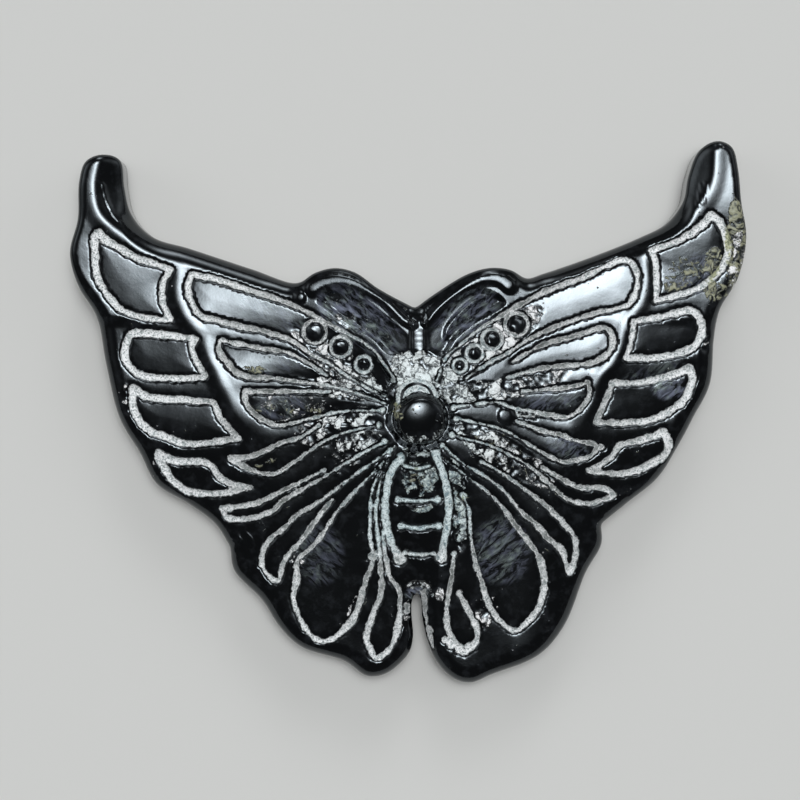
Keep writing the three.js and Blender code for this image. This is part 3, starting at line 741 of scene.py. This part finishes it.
# Noises, with strength and size in mm and seed: chipped sides, the felt's slow waves,
# grain in the floor of a line, lumps of flaked stone and the wander of the hood's arcs
CHIPS = (0.05, 0.45, 12), (0.035, 0.24, 13)
FELT = (0.01, 2.3, 5), (0.003, 0.8, 6)
GRAIN = (1, 0.22, 1), (0.6, 0.5, 2)
LUMPS = (0.65, 0.62, 8), (0.35, 0.28, 9)
ARC_WANDER = (0.07, 0.5, 15)
GRAIN_HEIGHT = 0.022
LUMP_HEIGHT, LUMP_SINK, LUMP_SPREAD = 0.1, 0.03, 0.75
# Flaked values at which lumps set in, become less high again, and spread the flakes
LUMPS_IN, LUMPS_LESS, SPREAD_IN = (0.25, 0.6), (0.7, 0.9), (0.1, 0.4)
# Distances in mm: chips stay near a line's edge and off the rings, flakes off the rings'
# knobs and the bead, and the abdomen's bar fades out in a line
CHIPS_NEAR, CHIPS_OFF_RING = (-0.4, -0.1), (0.25, 0.6)
FLAKES_OFF_RING, FLAKES_OFF_BEAD = (-0.35, -0.15), (-0.1, 0.6)
ABDOMEN_AT_LINE = (-0.05, 0.1)
# Distance to a line that is written for the bead and its moat, and on the hood the middle
# and swing of its flaked value and of its arcs' distance
NO_LINE = 0.3
HOOD_FLAKED, ARC_SWING, ARC_MIDDLE = (0.75, 0.35), -0.3, 0.55


def face(points, inset):
    """Height of the face, distance to the nearest ground line, and how flaked it is. Each
    field dips to the lines by a little pillow and a lip, a line sinks by its depth across
    its wall, and a flaked place is lumpy. Round the bead and the rings there are no chips
    or flakes, and the hood's arcs are ground."""
    x, y = points.T
    ground = ground_distance(points)
    chipped = mottle(x, y, *CHIPS)
    for *middle, radius in RINGS:
        chipped *= ramp(away(x, y, middle), *(radius + off for off in CHIPS_OFF_RING))
    ground += chipped * ramp(-np.abs(ground), *CHIPS_NEAR)
    fall = TAIL_SLOPE * eased(TAIL_START - y, TAIL_EASE)
    top = RIM_TOP + swell(x, y) - fall - shoulder(inset, edge_radius(points))
    top = fields(points, raised(points, top))
    out = np.clip(ground, 0, None)
    top -= LIP_SINK * (1 - np.minimum(out / LIP_REACH, 1)) ** 3
    top -= PILLOW_SINK * (1 - np.minimum(out / PILLOW_REACH, 1)) ** 2
    top += abdomen(x, y) * ramp(ground, *ABDOMEN_AT_LINE)
    neck = ramp(y, *NECK_FOOT) * ramp(-y, *NECK_TOP) * ramp(-np.abs(x - NECK_X), *NECK_HALF)
    top += NECK_WAVE * neck * np.sin(2 * np.pi * (y - NECK_WAVE_AT) / NECK_WAVE_LENGTH)
    top += mottle(x, y, *FELT)
    sink = np.clip(-ground / WALL, 0, 1)
    top -= LINE_DEPTH * (1 - (1 - sink) ** 2) - GRAIN_HEIGHT * mottle(x, y, *GRAIN) * sink
    worn = ellipses(x, y, CRUST)
    lumps = mottle(x, y, *LUMPS)
    rough = ramp(worn, *LUMPS_IN) * (1 - 0.2 * ramp(worn, *LUMPS_LESS))
    top += rough * (LUMP_HEIGHT * lumps - LUMP_SINK) * (1 - sink)
    # Flakes are laid on the lumps' tops and the dark stone is left in their hollows, as painted
    # shade there
    worn += LUMP_SPREAD * lumps * ramp(worn, *SPREAD_IN)
    top, hooded, r = head(x, y, top)
    arcs = hood_arcs(away(x, y, HOOD) + mottle(x, y, ARC_WANDER))
    worn *= ramp(r, *(HEAD_RADIUS + off for off in FLAKES_OFF_BEAD))
    worn = np.where(hooded, HOOD_FLAKED[0] + HOOD_FLAKED[1] * arcs, worn)
    ground = np.where(r < HEAD_RADIUS + NO_LINE, NO_LINE, ground)
    ground = np.where(hooded, ARC_SWING * (arcs + ARC_MIDDLE), ground)
    worn = np.where((r < HEAD_RADIUS) & ~hooded, ellipses(x, y, BEAD_CRUST), worn)
    for *middle, radius in RINGS:
        worn *= ramp(away(x, y, middle), *(radius + off for off in FLAKES_OFF_RING))
    return np.minimum(top, HEAD_TOP), ground, worn


print("height at the same three places in mm:", face(sample, np.full(3, 5.0))[0].round(2))

# %% [markdown]
# ## A net over the face
# A plain square net fine enough for the edges of the lines would need far more faces than
# the wide polished fields deserve. So the points are laid where the shape turns: along the
# edges, lips and floors of every line, round the head, and on a coarser square grid in
# between. Delaunay's rule then joins them into well-shaped triangles inside the rim.

# %% Points where the shape turns
RIM_INSET, RIM_CLEAR = 0.35, 0.09
GRID, FINE_GRID, CLOSEST = 0.15, 0.12, 0.085
LINE_SPACING = 0.125
# Distances from a line's edge at which it gets points, and how exactly they must keep them
BESIDE_LINE, BESIDE_SLACK = (0.0, -0.105, 0.14, -0.2), 0.025
BESIDE_HEAD = (0.03, 0.1, 0.2, 0.33, 0.45, 0.55)
# The finer grid's middle x, half width, and lowest and highest y
FINE_AREA = (0.8, 7, -13, 7)
# Points in a circle round an end, the cosine from which a bend is sharp, and the distance
# between points on the head's rings, which are six degrees apart on the ball
CAP_POINTS, SHARP_BEND, HEAD_SPACING = 22, 0.85, 0.13
COLUMN_STEP = 100003  # more than the rows of cells on either lattice


def tangents(path, closed=False):
    """Direction at each point, from the point before it to the one after it, made one long."""
    if closed:
        t = np.roll(path, -1, axis=0) - np.roll(path, 1, axis=0)
    else:
        t = np.gradient(path, axis=0)
    return t / np.linalg.norm(t, axis=1, keepdims=True)


def beside(path, width, more):
    """Points to both sides of a line at half its width plus a bit more, a half circle of
    them round each end, and a full circle round each sharp bend."""
    t = tangents(path)
    normal = np.stack([-t[:, 1], t[:, 0]], axis=1)
    off = (width / 2 + more)[:, None]
    turn = np.linspace(0, 2 * np.pi, CAP_POINTS, endpoint=False)
    round_off = np.stack([np.cos(turn), np.sin(turn)], axis=1)
    bend = (t[1:] * t[:-1]).sum(1) < SHARP_BEND
    hubs = np.concatenate([[0, len(path) - 1], np.flatnonzero(bend), np.flatnonzero(bend) + 1])
    caps = (path[hubs, None] + off[hubs, None] * round_off).reshape(-1, 2)
    return np.vstack([path + off * normal, path - off * normal, caps])


def grid(step):
    """A square grid of points over the slab."""
    gx, gy = np.meshgrid(*(np.arange(box_low[k], box_high[k], step) for k in (0, 1)))
    return np.stack([gx.ravel(), gy.ravel()], axis=1)


def thin_out(points, cell):
    """Keeps the first point in each square cell, on two lattices half a cell apart. A cell
    is one number: its column times the column step, plus its row."""
    for shift in (0, 0.5):
        key = np.floor(points / cell + shift).astype(np.int64)
        _, first = np.unique(key[:, 0] * COLUMN_STEP + key[:, 1], return_index=True)
        points = points[np.sort(first)]
    return points


outward = tangents(rim[:-1], closed=True) @ np.array([[0, -1], [1, 0]])
print("sum of the outward directions, near nothing for a closed line:", outward.sum(0).round(1))

# %% Lay out the points
spaced = []
for path, width in lines:
    sparse = even(path, LINE_SPACING)
    share = np.linspace(0, 1, len(sparse))
    spaced.append((sparse, np.interp(share, np.linspace(0, 1, len(path)), width)))
around = [HEAD_RADIUS * math.sin(math.radians(angle)) for angle in range(6, 90, 6)]
around += [HEAD_RADIUS + more for more in BESIDE_HEAD]
layers = [circle(*HEAD, radius, HEAD_SPACING) for radius in around]
for more in BESIDE_LINE:
    spots = [beside(path, width, more) for path, width in spaced]
    spots += [circle(x, y, radius + more) for x, y, radius in BULBS if radius + more > 0]
    spots = np.vstack(spots)
    layers.append(spots[np.abs(ground_distance(spots) - more) < BESIDE_SLACK])
fine = grid(FINE_GRID)
x, y, (middle, half, low, high) = *fine.T, FINE_AREA
fine = fine[(np.abs(x - middle) < half) & (y > low) & (y < high)]
plan = thin_out(np.vstack([*layers, fine, grid(GRID)]), CLOSEST)
far, _, side = nearest(plan, rim)
plan = plan[(side > 0) & (far > RIM_INSET + RIM_CLEAR)]
print("points on the face:", len(plan))

# %% Join the points into triangles
loop = [Vector(p) for p in rim[:-1] - RIM_INSET * outward]
ring_edges = [(i, (i + 1) % len(loop)) for i in range(len(loop))]
# The 1 keeps the triangles inside the ring only
verts2d, _, tris, origin, *_ = geometry.delaunay_2d_cdt(
    loop + [Vector(p) for p in plan], ring_edges, [], 1, 1e-7
)
face_xy = np.array([tuple(v) for v in verts2d])
face_tris = np.array(tris)
# Where each point of the ring ended up among the points of the net
source = np.array([ids[0] if ids else -1 for ids in origin])
from_ring = np.flatnonzero((source >= 0) & (source < len(loop)))
ring_index = np.full(len(loop), -1)
ring_index[source[from_ring]] = from_ring
print("face triangles:", len(face_tris), "lost ring points:", int((ring_index < 0).sum()))

# %% [markdown]
# ## The edge and the back
# The edge of the slab is a quarter round, a short upright wall and a slight rounding where
# the flat back was ground. Such an edge can't be a height over the plan, so it is a profile
# carried along the outline: ring after ring of points, each a little further out and down.

# %% Rings from the face to the back
ARC_SHARES = (0.2, 0.4, 0.6, 0.8, 1.0)
WALL_SHARES, WALL_FOOT = (0.5, 1.0), 0.45
# Inset and height of the rings that round the wall into the back
BACK_RINGS = ((0.02, 0.24), (0.06, 0.09), (0.12, 0.0))
# Down the wall the flakes and inclusions fade out, and the back has no line
FACE_FADE, LAST_LINE = (1.2, 4.2), 0.3


def signed_area(p, t):
    """Twice the area of each triangle in plan, above zero if it runs anticlockwise: the
    cross product of two of its sides."""
    a, b, c = (p[t[:, k]] for k in (0, 1, 2))
    return (b[:, 0] - a[:, 0]) * (c[:, 1] - a[:, 1]) - (c[:, 0] - a[:, 0]) * (b[:, 1] - a[:, 1])


face_tris = np.where((signed_area(face_xy, face_tris) < 0)[:, None], face_tris[:, ::-1], face_tris)
face_z, ground, worn = face(face_xy, nearest(face_xy, rim)[0])
radius = edge_radius(rim[:-1])
crown = face_z[ring_index] + shoulder(RIM_INSET, radius)
first_angle = np.arcsin(1 - RIM_INSET / radius)
insets, heights = [], []
for share in ARC_SHARES:
    angle = first_angle + share * (np.pi / 2 - first_angle)
    insets.append(radius * (1 - np.sin(angle)))
    heights.append(crown - radius * (1 - np.cos(angle)))
for share in WALL_SHARES:
    insets.append(0 * radius)
    heights.append((crown - radius) * (1 - share) + WALL_FOOT * share)
for inset, height in BACK_RINGS:
    insets.append(inset + 0 * radius)
    heights.append(height + 0 * radius)
rim_xyz = np.concatenate([
    np.column_stack([rim[:-1] - inset[:, None] * outward, height])
    for inset, height in zip(insets, heights)
])
x, y, z = np.vstack([np.column_stack([face_xy, face_z]), rim_xyz]).T
on_face = ramp(z, *FACE_FADE)
rim_xy = rim_xyz[:, :2]
ground = np.concatenate([ground, ground_distance(rim_xy)])
states = {
    "ground_edge": np.where(z > LAST_LINE, ground, 1.0),
    "crust": np.concatenate([worn, ellipses(*rim_xy.T, CRUST)]) * on_face,
    "moss": ellipses(x, y, MOSS) * on_face,
    "violet": ellipses(x, y, VIOLET) * on_face,
}
print("rings on the edge:", len(insets))

# %% Join the rings and close the back
first_ids = len(face_xy) + np.arange(len(rim_xyz)).reshape(len(insets), -1)
ring_ids = [ring_index, *first_ids]
quads = np.vstack([
    np.stack([upper, lower, np.roll(lower, -1), np.roll(upper, -1)], axis=1)
    for upper, lower in zip(ring_ids[:-1], ring_ids[1:])
])
vertices = np.column_stack([x, y, z])
back = geometry.tessellate_polygon([[Vector(vertices[i]) for i in ring_ids[-1]]])
back_tris = ring_ids[-1][np.array(back)]
turned = signed_area(vertices[:, :2], back_tris) > 0
back_tris[turned] = back_tris[turned][:, ::-1]
faces = [*face_tris.tolist(), *quads.tolist(), *back_tris.tolist()]
print("triangles in all:", len(face_tris) + 2 * len(quads) + len(back_tris))

# %% Put the surface into a mesh
mesh = bpy.data.meshes.new("carved_butterfly")
mesh.from_pydata((vertices * MM).tolist(), [], faces)
smooth = np.ones(len(faces), bool)
smooth[-len(back_tris):] = False
mesh.polygons.foreach_set("use_smooth", smooth)
for name, values in states.items():
    kept = mesh.attributes.new(name, "FLOAT", "POINT")
    kept.data.foreach_set("value", values.astype(np.float32))
mesh.update()
print("mesh needed repair:", mesh.validate())
butterfly = bpy.data.objects.new("carved_butterfly", mesh)
bpy.context.scene.collection.objects.link(butterfly)
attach(butterfly, "root")
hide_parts("butterfly_pendant")

# %% [markdown]
# ## The stone: polished, ground and flaked
# The stone looks like a black serpentine, a common carving stone: near black, with a very
# fine grain and greenish inclusions. Rubbed with felt and a fine powder it takes a polish
# like glass, and what shows on it is mostly the lamp, bent by the relief. Where the wheel
# cut it, the grains are bruised open and scatter the light, so the same stone turns pale
# and matt. Round the head the cutting also lifted small flakes, which lie there like
# crumpled frost. At the right wing's tip the stone holds a greenish mineral, and some
# fields have faint violet clouds under the polish.
#
# All of this is one material, because it is one stone in several states. The values kept
# on the mesh say where each state lies: the distance to the nearest line, and how flaked,
# how green and how cloudy the stone is. Noise breaks up their borders. It works in
# millimetres, so a scale of 4 gives features of about a quarter of a millimetre.

# %% Helpers for colours and nodes
SUM, PRODUCT = {"operation": "ADD"}, {"operation": "MULTIPLY"}
SCALED_SUM = {"operation": "MULTIPLY_ADD"}
SMOOTH = {"interpolation_type": "SMOOTHSTEP"}
BLEND = {"data_type": "RGBA"}
TINT = {"data_type": "RGBA", "blend_type": "MULTIPLY"}


def linear(code):
    """A colour such as c8ccca, in sRGB, as linear red, green, blue and alpha."""
    rgb = np.array([int(code[k : k + 2], 16) for k in (0, 2, 4)]) / 255
    return (*np.where(rgb > 0.04045, ((rgb + 0.055) / 1.055) ** 2.4, rgb / 12.92), 1.0)


def add(kind, sockets=(), out=None, **settings):
    """Adds a node to the tree at hand, sets its settings, and fills or links its sockets,
    by name or in the order in which the node shows them. Returns the output that is
    named, or else the first that is in use."""
    node = tree.nodes.new("ShaderNode" + kind)
    for name, value in settings.items():
        setattr(node, name, value)
    shown = [socket for socket in node.inputs if socket.enabled]
    if isinstance(sockets, dict):
        shown, sockets = [node.inputs[name] for name in sockets], sockets.values()
    for socket, value in zip(shown, sockets):
        if isinstance(value, bpy.types.NodeSocket):
            tree.links.new(value, socket)
        else:
            socket.default_value = value
    return node.outputs[out] if out else next((o for o in node.outputs if o.enabled), None)


print("a middle grey as linear light:", round(float(linear("808080")[0]), 3))

# %% The material and its coordinates
stone = bpy.data.materials.new("black_serpentine_polished_and_ground")
stone.use_nodes = True
tree = stone.node_tree
tree.nodes.clear()
place = add("TexCoord", out="Object")
mm = add("VectorMath", (place, (1 / MM,) * 3), **PRODUCT)
from_head = add("VectorMath", (mm, (*HEAD, 0)), operation="SUBTRACT")
from_head = add("VectorMath", (from_head, (1, 1, 0)), **PRODUCT)
reach = add("VectorMath", (from_head,), operation="LENGTH")
edge_value, worn_value, moss_value, violet_value = (
    add("Attribute", out="Fac", attribute_name=name) for name in states
)
print("values read from the mesh:", *states)

# %% Patterns, by the size of what they draw
# Features in a mm, detail, roughness and distortion
NOISES = {
    "nick": (4.0, 4, 0.7, 0),  # nicks along the lines, 0.25 mm
    # Grains of the ground surface. Real ones are some hundredths of a millimetre and
    # wouldn't show, so they are drawn at 0.12 mm.
    "grit": (8.0, 2, 0.7, 0),
    "cloud": (1.1, 6, 0.62, 0),  # slow waves of the polish and clouds in the stone, 1 mm
    "crumple": (2.8, 5, 0.66, 0.7),  # flakes, 0.35 mm
    "fine": (6.0, 3, 0.65, 0.5),  # finer chips on them, 0.17 mm
    "marble": (1.6, 2, 0.5, 1.7),  # lumps, 0.6 mm
}
NOISE_SOCKETS = ("Vector", "Scale", "Detail", "Roughness", "Distortion")
nick, grit, cloud, crumple, fine, marble = (
    add("TexNoise", dict(zip(NOISE_SOCKETS, (mm, *noise)))) for noise in NOISES.values()
)
# Creases between lumps of 1 mm, bent by noise so that none is straight
warp = add("TexNoise", {"Vector": mm, "Scale": 1.5, "Detail": 3}, out="Color")
warp = add("VectorMath", (warp, (1.1, 1.1, 1.1), mm), **SCALED_SUM)
cells = add("TexVoronoi", (warp, 0.95), feature="DISTANCE_TO_EDGE")
# Single specks of stone dust, one in each cell of 0.6 mm
dust = add("TexVoronoi", (mm, 1.7))
# Streaks of the violet clouds, 1.2 mm long and 0.4 mm wide. They run up and outwards on
# both sides of the body, so the side is folded over before they are drawn.
BODY_X = 0.75
STREAK_TURN = math.radians(40)
STREAK_SIZE = (1.8, 0.6, 1)
across, along, up = add("SeparateXYZ", (mm,)).node.outputs
aside = add("Math", (across, -BODY_X), **SUM)
aside = add("Math", (aside,), operation="ABSOLUTE")
folded = add("Mapping", {"Vector": add("CombineXYZ", (aside, along)),
                         "Rotation": (0, 0, STREAK_TURN), "Scale": STREAK_SIZE},
             vector_type="TEXTURE")
streak = add("TexNoise", dict(zip(NOISE_SOCKETS, (folded, 1.5, 5, 0.66, 0.8))))
print("nodes for the patterns:", len(tree.nodes))

# %% [markdown]
# ### Where each state shows
# The border of a line is moved in and out by a seventh of a millimetre, which draws the
# torn sides the wheel left. Flakes show where noise plus the flaked value passes a
# threshold, so a low value gives scattered specks and a high one a closed crust. They keep
# off the very lip of a line, which the felt rubbed smooth.

# %% Masks
TEAR = 0.3
sway = add("Math", (crumple, -0.5), **SUM)
moved = add("Math", (nick, TEAR, -TEAR / 2), **SCALED_SUM)
moved = add("Math", (sway, TEAR, moved), **SCALED_SUM)
moved = add("Math", (moved, edge_value), **SUM)
ground_part = add("MapRange", (moved, 0, -0.06), **SMOOTH)
lip = add("MapRange", (edge_value, 0.17, 0.05, 0, -0.5))
fleck = add("Math", (sway, 1.7, worn_value), **SCALED_SUM)
fleck = add("Math", (fleck, lip), **SUM)
fleck = add("MapRange", (fleck, 0.56, 0.72), **SMOOTH)
dusty = add("Math", (worn_value, cloud), **SUM)
dusty = add("MapRange", (dusty, 0.6, 0.75))
speck = add("Math", (add("MapRange", (dust, 0.12, 0.06)), dusty), **PRODUCT)
fleck = add("Math", (fleck, speck), operation="MAXIMUM")
mossy = add("Math", (cloud, marble), **SUM)
mossy = add("Math", (mossy, 2, -2), **SCALED_SUM)
mossy = add("Math", (mossy, moss_value), **SUM)
mossy = add("MapRange", (mossy, 0.6, 1.15), **SMOOTH)
# Near the head, and beside the abdomen between its top and its end
near = add("MapRange", (reach, 10, 3))
strand = add("MapRange", (aside, 4.5, 3))
for start, full in ((-2, -4.5), (-11.5, -9)):
    strand = add("Math", (strand, add("MapRange", (along, start, full))), **PRODUCT)
cool = add("Math", (near, 0.8, strand), use_clamp=True, **SCALED_SUM)
print("nodes with the masks:", len(tree.nodes))

# %% [markdown]
# ### Colour of the ground lines
# Freshly bruised stone is almost white. Pits that the wheel tore out are sunk by the bump and
# painted grey as painted shade in them. From 4 to 18 mm from the head the middle of a line
# is painted darker, as painted shade in its trough between two sides that catch the light.
# Nearer the head the lines are bluish.

# %% Ground lines
pale = add("MapRange", (grit, 0.4, 0.6))
pale = add("Mix", (pale, linear("d0d6d6"), linear("ffffff")), **BLEND)
rubbed = add("MapRange", (crumple, 0.38, 0.47))
rubbed = add("Mix", (rubbed, linear("b8bebe"), linear("ffffff")), **BLEND)
pale = add("Mix", (1.0, pale, rubbed), **TINT)
# Painted shade in the middle of a line, between its two sides that catch the light, but not beside
# the abdomen
painted_shade_middle = add("MapRange", (moved, -0.06, -0.11))
for part in ((cloud, 0.42, 0.58, 0.3, 0.9), (reach, 4, 7), (reach, 18, 12)):
    painted_shade_middle = add("Math", (painted_shade_middle, add("MapRange", part)), **PRODUCT)
painted_shade_middle = add("Math", (painted_shade_middle, strand), operation="SUBTRACT", use_clamp=True)
# Colour of that painted shade: dark grey, and bluish grey nearer the head
middle = add("Mix", (near, linear("4c504c"), linear("b4c6cc")), **BLEND)
# Painted shade in the pits of the grain, which the bump below also sinks
painted_shade_pit = add("MapRange", (grit, 0.42, 0.35))
stain = add("MapRange", (crumple, 0.45, 0.39, 0, 0.6))
stain = add("Math", (stain, cool), **PRODUCT)
for part, over, way in (
    (painted_shade_middle, middle, BLEND), (painted_shade_pit, linear("858c8c"), BLEND), (mossy, linear("cccca6"), TINT),
    (cool, linear("e4eff0"), TINT), (stain, linear("6d8792"), BLEND),
):
    pale = add("Mix", (part, pale, over), **way)
print("nodes with the ground lines:", len(tree.nodes))

# %% [markdown]
# ### Colour of the flakes
# A flake's own colour is near white, and thin white cracks run through it. It is painted dark
# in the creases round its lumps and in their low places, as painted shade. Near the head the
# flakes have a cool cast, and beside the abdomen they are veined with blue-grey.

# %% Flakes
flakes_with_painted_shade = add("MapRange", (fine, 0.4, 0.55, 0.78, 1))
# Painted shade: darker where the marble lumps, which the bump raises, are low
flakes_with_painted_shade = add("Math", (flakes_with_painted_shade, add("MapRange", (marble, 0.37, 0.47, 0.12))), **PRODUCT)
crack = add("Math", (sway,), operation="ABSOLUTE")
crack = add("MapRange", (crack, 0.03, 0.01))
flakes_with_painted_shade = add("Math", (flakes_with_painted_shade, crack), operation="MAXIMUM")
# Painted shade in the creases between the lumps, which the bump's domes leave low
flakes_with_painted_shade = add("Math", (flakes_with_painted_shade, add("MapRange", (cells, 0.01, 0.08, 0.08))), **PRODUCT)
flakes_with_painted_shade = add("Mix", (flakes_with_painted_shade, linear("111516"), linear("ffffff")), **BLEND)
veined = add("MapRange", (nick, 0.42, 0.58))
veined = add("Mix", (veined, linear("77848b"), linear("f4f6f1")), **BLEND)
for part, over in ((cool, linear("e0ecec")), (strand, veined)):
    flakes_with_painted_shade = add("Mix", (part, flakes_with_painted_shade, over), **TINT)
print("nodes with the flakes:", len(tree.nodes))

# %% [markdown]
# ### Colour of the polished stone
# The stone itself is almost black with a faint haze in it. The violet clouds are streaks of
# a paler mineral, going to grey-green in places. The greenish mineral lies in lumps with
# dark gaps between them. The states are then laid over each other, the ground lines last.

# %% Polished stone, and all colours together
haze = add("MapRange", (cloud, 0.5, 0.72))
colour = add("Mix", (haze, linear("030304"), linear("1c1e21")), **BLEND)
streak = add("MapRange", (streak, 0.44, 0.74))
streak = add("Math", (streak, violet_value), use_clamp=True, **PRODUCT)
bloom = add("MapRange", (cloud, 0.47, 0.63))
bloom = add("Mix", (bloom, linear("797f90"), linear("98a6a2")), **BLEND)
moss = add("MapRange", (marble, 0.44, 0.58))
moss = add("Mix", (moss, linear("1d1e18"), linear("96967c")), **BLEND)
for part, over in ((streak, bloom), (mossy, moss), (fleck, flakes_with_painted_shade), (ground_part, pale)):
    colour = add("Mix", (part, colour, over), **BLEND)
print("nodes with all colours:", len(tree.nodes))

# %% [markdown]
# ### Gloss and relief
# Felt-polished stone has a roughness near 0.12: sharp reflections with a soft border. The
# bead, which hands rub most, is a little sharper. Ground stone is matt, and the back, which
# was only ground flat on a plate and rubbed over, is satin. The bump is given in
# millimetres: domes and chips on the flakes, pits in the lines, and a few thousandths for
# the slow waves and the grain that the felt leaves. The index of 1.55 is that of
# serpentine, and a tint on the reflection makes its grey a little cooler, as it looks.

# %% Gloss, relief and shader
gloss = add("Mix", (add("MapRange", (reach, 1.95, 1.7)), 0.12, 0.11))
underside = add("MapRange", (up, 0.3, 0.05))
for part, rough in ((mossy, 0.45), (fleck, 0.28), (ground_part, 0.62), (underside, 0.38)):
    gloss = add("Mix", (part, gloss, rough))
CHIP_BUMP, DOME_BUMP, LUMP_BUMP = 0.025, 0.06, 0.11
chips = add("Math", (fine, CHIP_BUMP, -CHIP_BUMP / 2), **SCALED_SUM)
dome = add("MapRange", (cells, 0, 0.35, 0, DOME_BUMP), **SMOOTH)
chips = add("Math", (chips, dome), **SUM)
chips = add("Math", (marble, LUMP_BUMP, chips), **SCALED_SUM)
uneven = add("Math", (mossy, 0.6, fleck), use_clamp=True, **SCALED_SUM)
step = add("Math", (chips, uneven), **PRODUCT)
pitted = add("Math", (painted_shade_pit, ground_part), **PRODUCT)
for part, rise in ((pitted, -0.03), (ground_part, -0.03), (cloud, 0.006), (fine, 0.002)):
    step = add("Math", (part, rise, step), **SCALED_SUM)
relief = add("Bump", {"Height": step, "Distance": MM})
shader = add("BsdfPrincipled", {"Base Color": colour, "Roughness": gloss, "IOR": 1.55,
                                "Normal": relief, "Specular Tint": (0.84, 0.94, 1.0, 1.0)})
add("OutputMaterial", {"Surface": shader})
mesh.materials.append(stone)
print("nodes in the stone:", len(tree.nodes))

# %% [markdown]
# ## Floor
# A sheet of plain pale paper under the piece. It isn't part of the piece.

# %% Floor
FLOOR_HALF = 0.6
corners = [(x * FLOOR_HALF, y * FLOOR_HALF, 0) for x, y in ((-1, -1), (1, -1), (1, 1), (-1, 1))]
floor_mesh = bpy.data.meshes.new("floor")
floor_mesh.from_pydata(corners, [], [(0, 1, 2, 3)])
floor = bpy.data.objects.new("floor", floor_mesh)
bpy.context.scene.collection.objects.link(floor)
paper = bpy.data.materials.new("matt_paper")
paper.use_nodes = True
sheet = paper.node_tree.nodes["Principled BSDF"]
sheet.inputs["Base Color"].default_value = linear("d3d3d0")
sheet.inputs["Roughness"].default_value = 0.9
floor_mesh.materials.append(paper)
print("floor half width in m:", FLOOR_HALF)

# %% [markdown]
# ## Camera
# The photograph looks square at the carved face, so over the lying piece the camera looks
# straight down. The height is that of a close-up with a long lens, about five times the
# width of the piece, which keeps the sides of the slab almost out of sight. The frame's
# width at the level of the face was measured from the span of the wings.

# %% Camera
FRAME_WIDTH = 59.17
CAMERA_HEIGHT = 240.0
AIM = (-0.61, 0.96)
SENSOR = 36.0
camera_data = bpy.data.cameras.new("camera")
camera_data.sensor_width = SENSOR
camera_data.lens = SENSOR * CAMERA_HEIGHT / FRAME_WIDTH
camera_data.clip_start = 0.01
camera = bpy.data.objects.new("camera", camera_data)
camera.location = Vector((*AIM, CAMERA_HEIGHT + RIM_TOP)) * MM
bpy.context.scene.collection.objects.link(camera)
bpy.context.scene.camera = camera
print("lens in mm:", round(camera_data.lens, 1))

# %% [markdown]
# ## Light
# Polished black stone shows its lamps, so the lamps decide the look. One round softbox
# stands almost over the camera, a little up and to the right: every patch of stone that
# faces half-way between it and the camera turns bright, and the rest stays black. A second,
# low one from the top draws the thin bright line along the upper rim, and two weak ones
# fill the flanks. Each has a soft border, because hard-edged lamps would draw hard shapes
# on the polish that the photograph doesn't show. They are written into the sky, with the
# direction to the lamp, its width in degrees and its radiance.

# %% Softboxes in the sky
SOFTBOXES = [
    ((0.045, 0.12, 1.0), 8.5, 31),
    ((0.1, 0.95, 0.5), 10, 7.5),
    ((-0.85, 0.3, 0.55), 16, 1.4),
    ((0.85, 0.4, 0.5), 16, 0.9),
]
AMBIENT = 0.08
world = bpy.data.worlds.new("studio")
bpy.context.scene.world = world
world.use_nodes = True
tree = world.node_tree
tree.nodes.clear()
unit = add("VectorMath", (add("TexCoord", out="Generated"),), operation="NORMALIZE")


def softbox(toward, width, radiance):
    """Radiance of a round softbox with no hard border: its middle's radiance times e to
    the power of minus (1 - cos of the angle off its middle) over (1 - cos of its width)."""
    lean = add("VectorMath", (unit, Vector(toward).normalized()), operation="DOT_PRODUCT")
    fall = 1 - math.cos(math.radians(width))
    power = add("Math", (lean, 1 / fall, -1 / fall), **SCALED_SUM)
    lobe = add("Math", (math.e, power), operation="POWER")
    return add("Math", (lobe, radiance), **PRODUCT)


strength = AMBIENT
for lamp in SOFTBOXES:
    strength = add("Math", (softbox(*lamp), strength), **SUM)
glow = add("Background", {"Color": (0.97, 0.985, 1.0, 1), "Strength": strength})
add("OutputWorld", {"Surface": glow})
bpy.context.scene.view_settings.view_transform = "Standard"
print("softboxes:", len(SOFTBOXES))
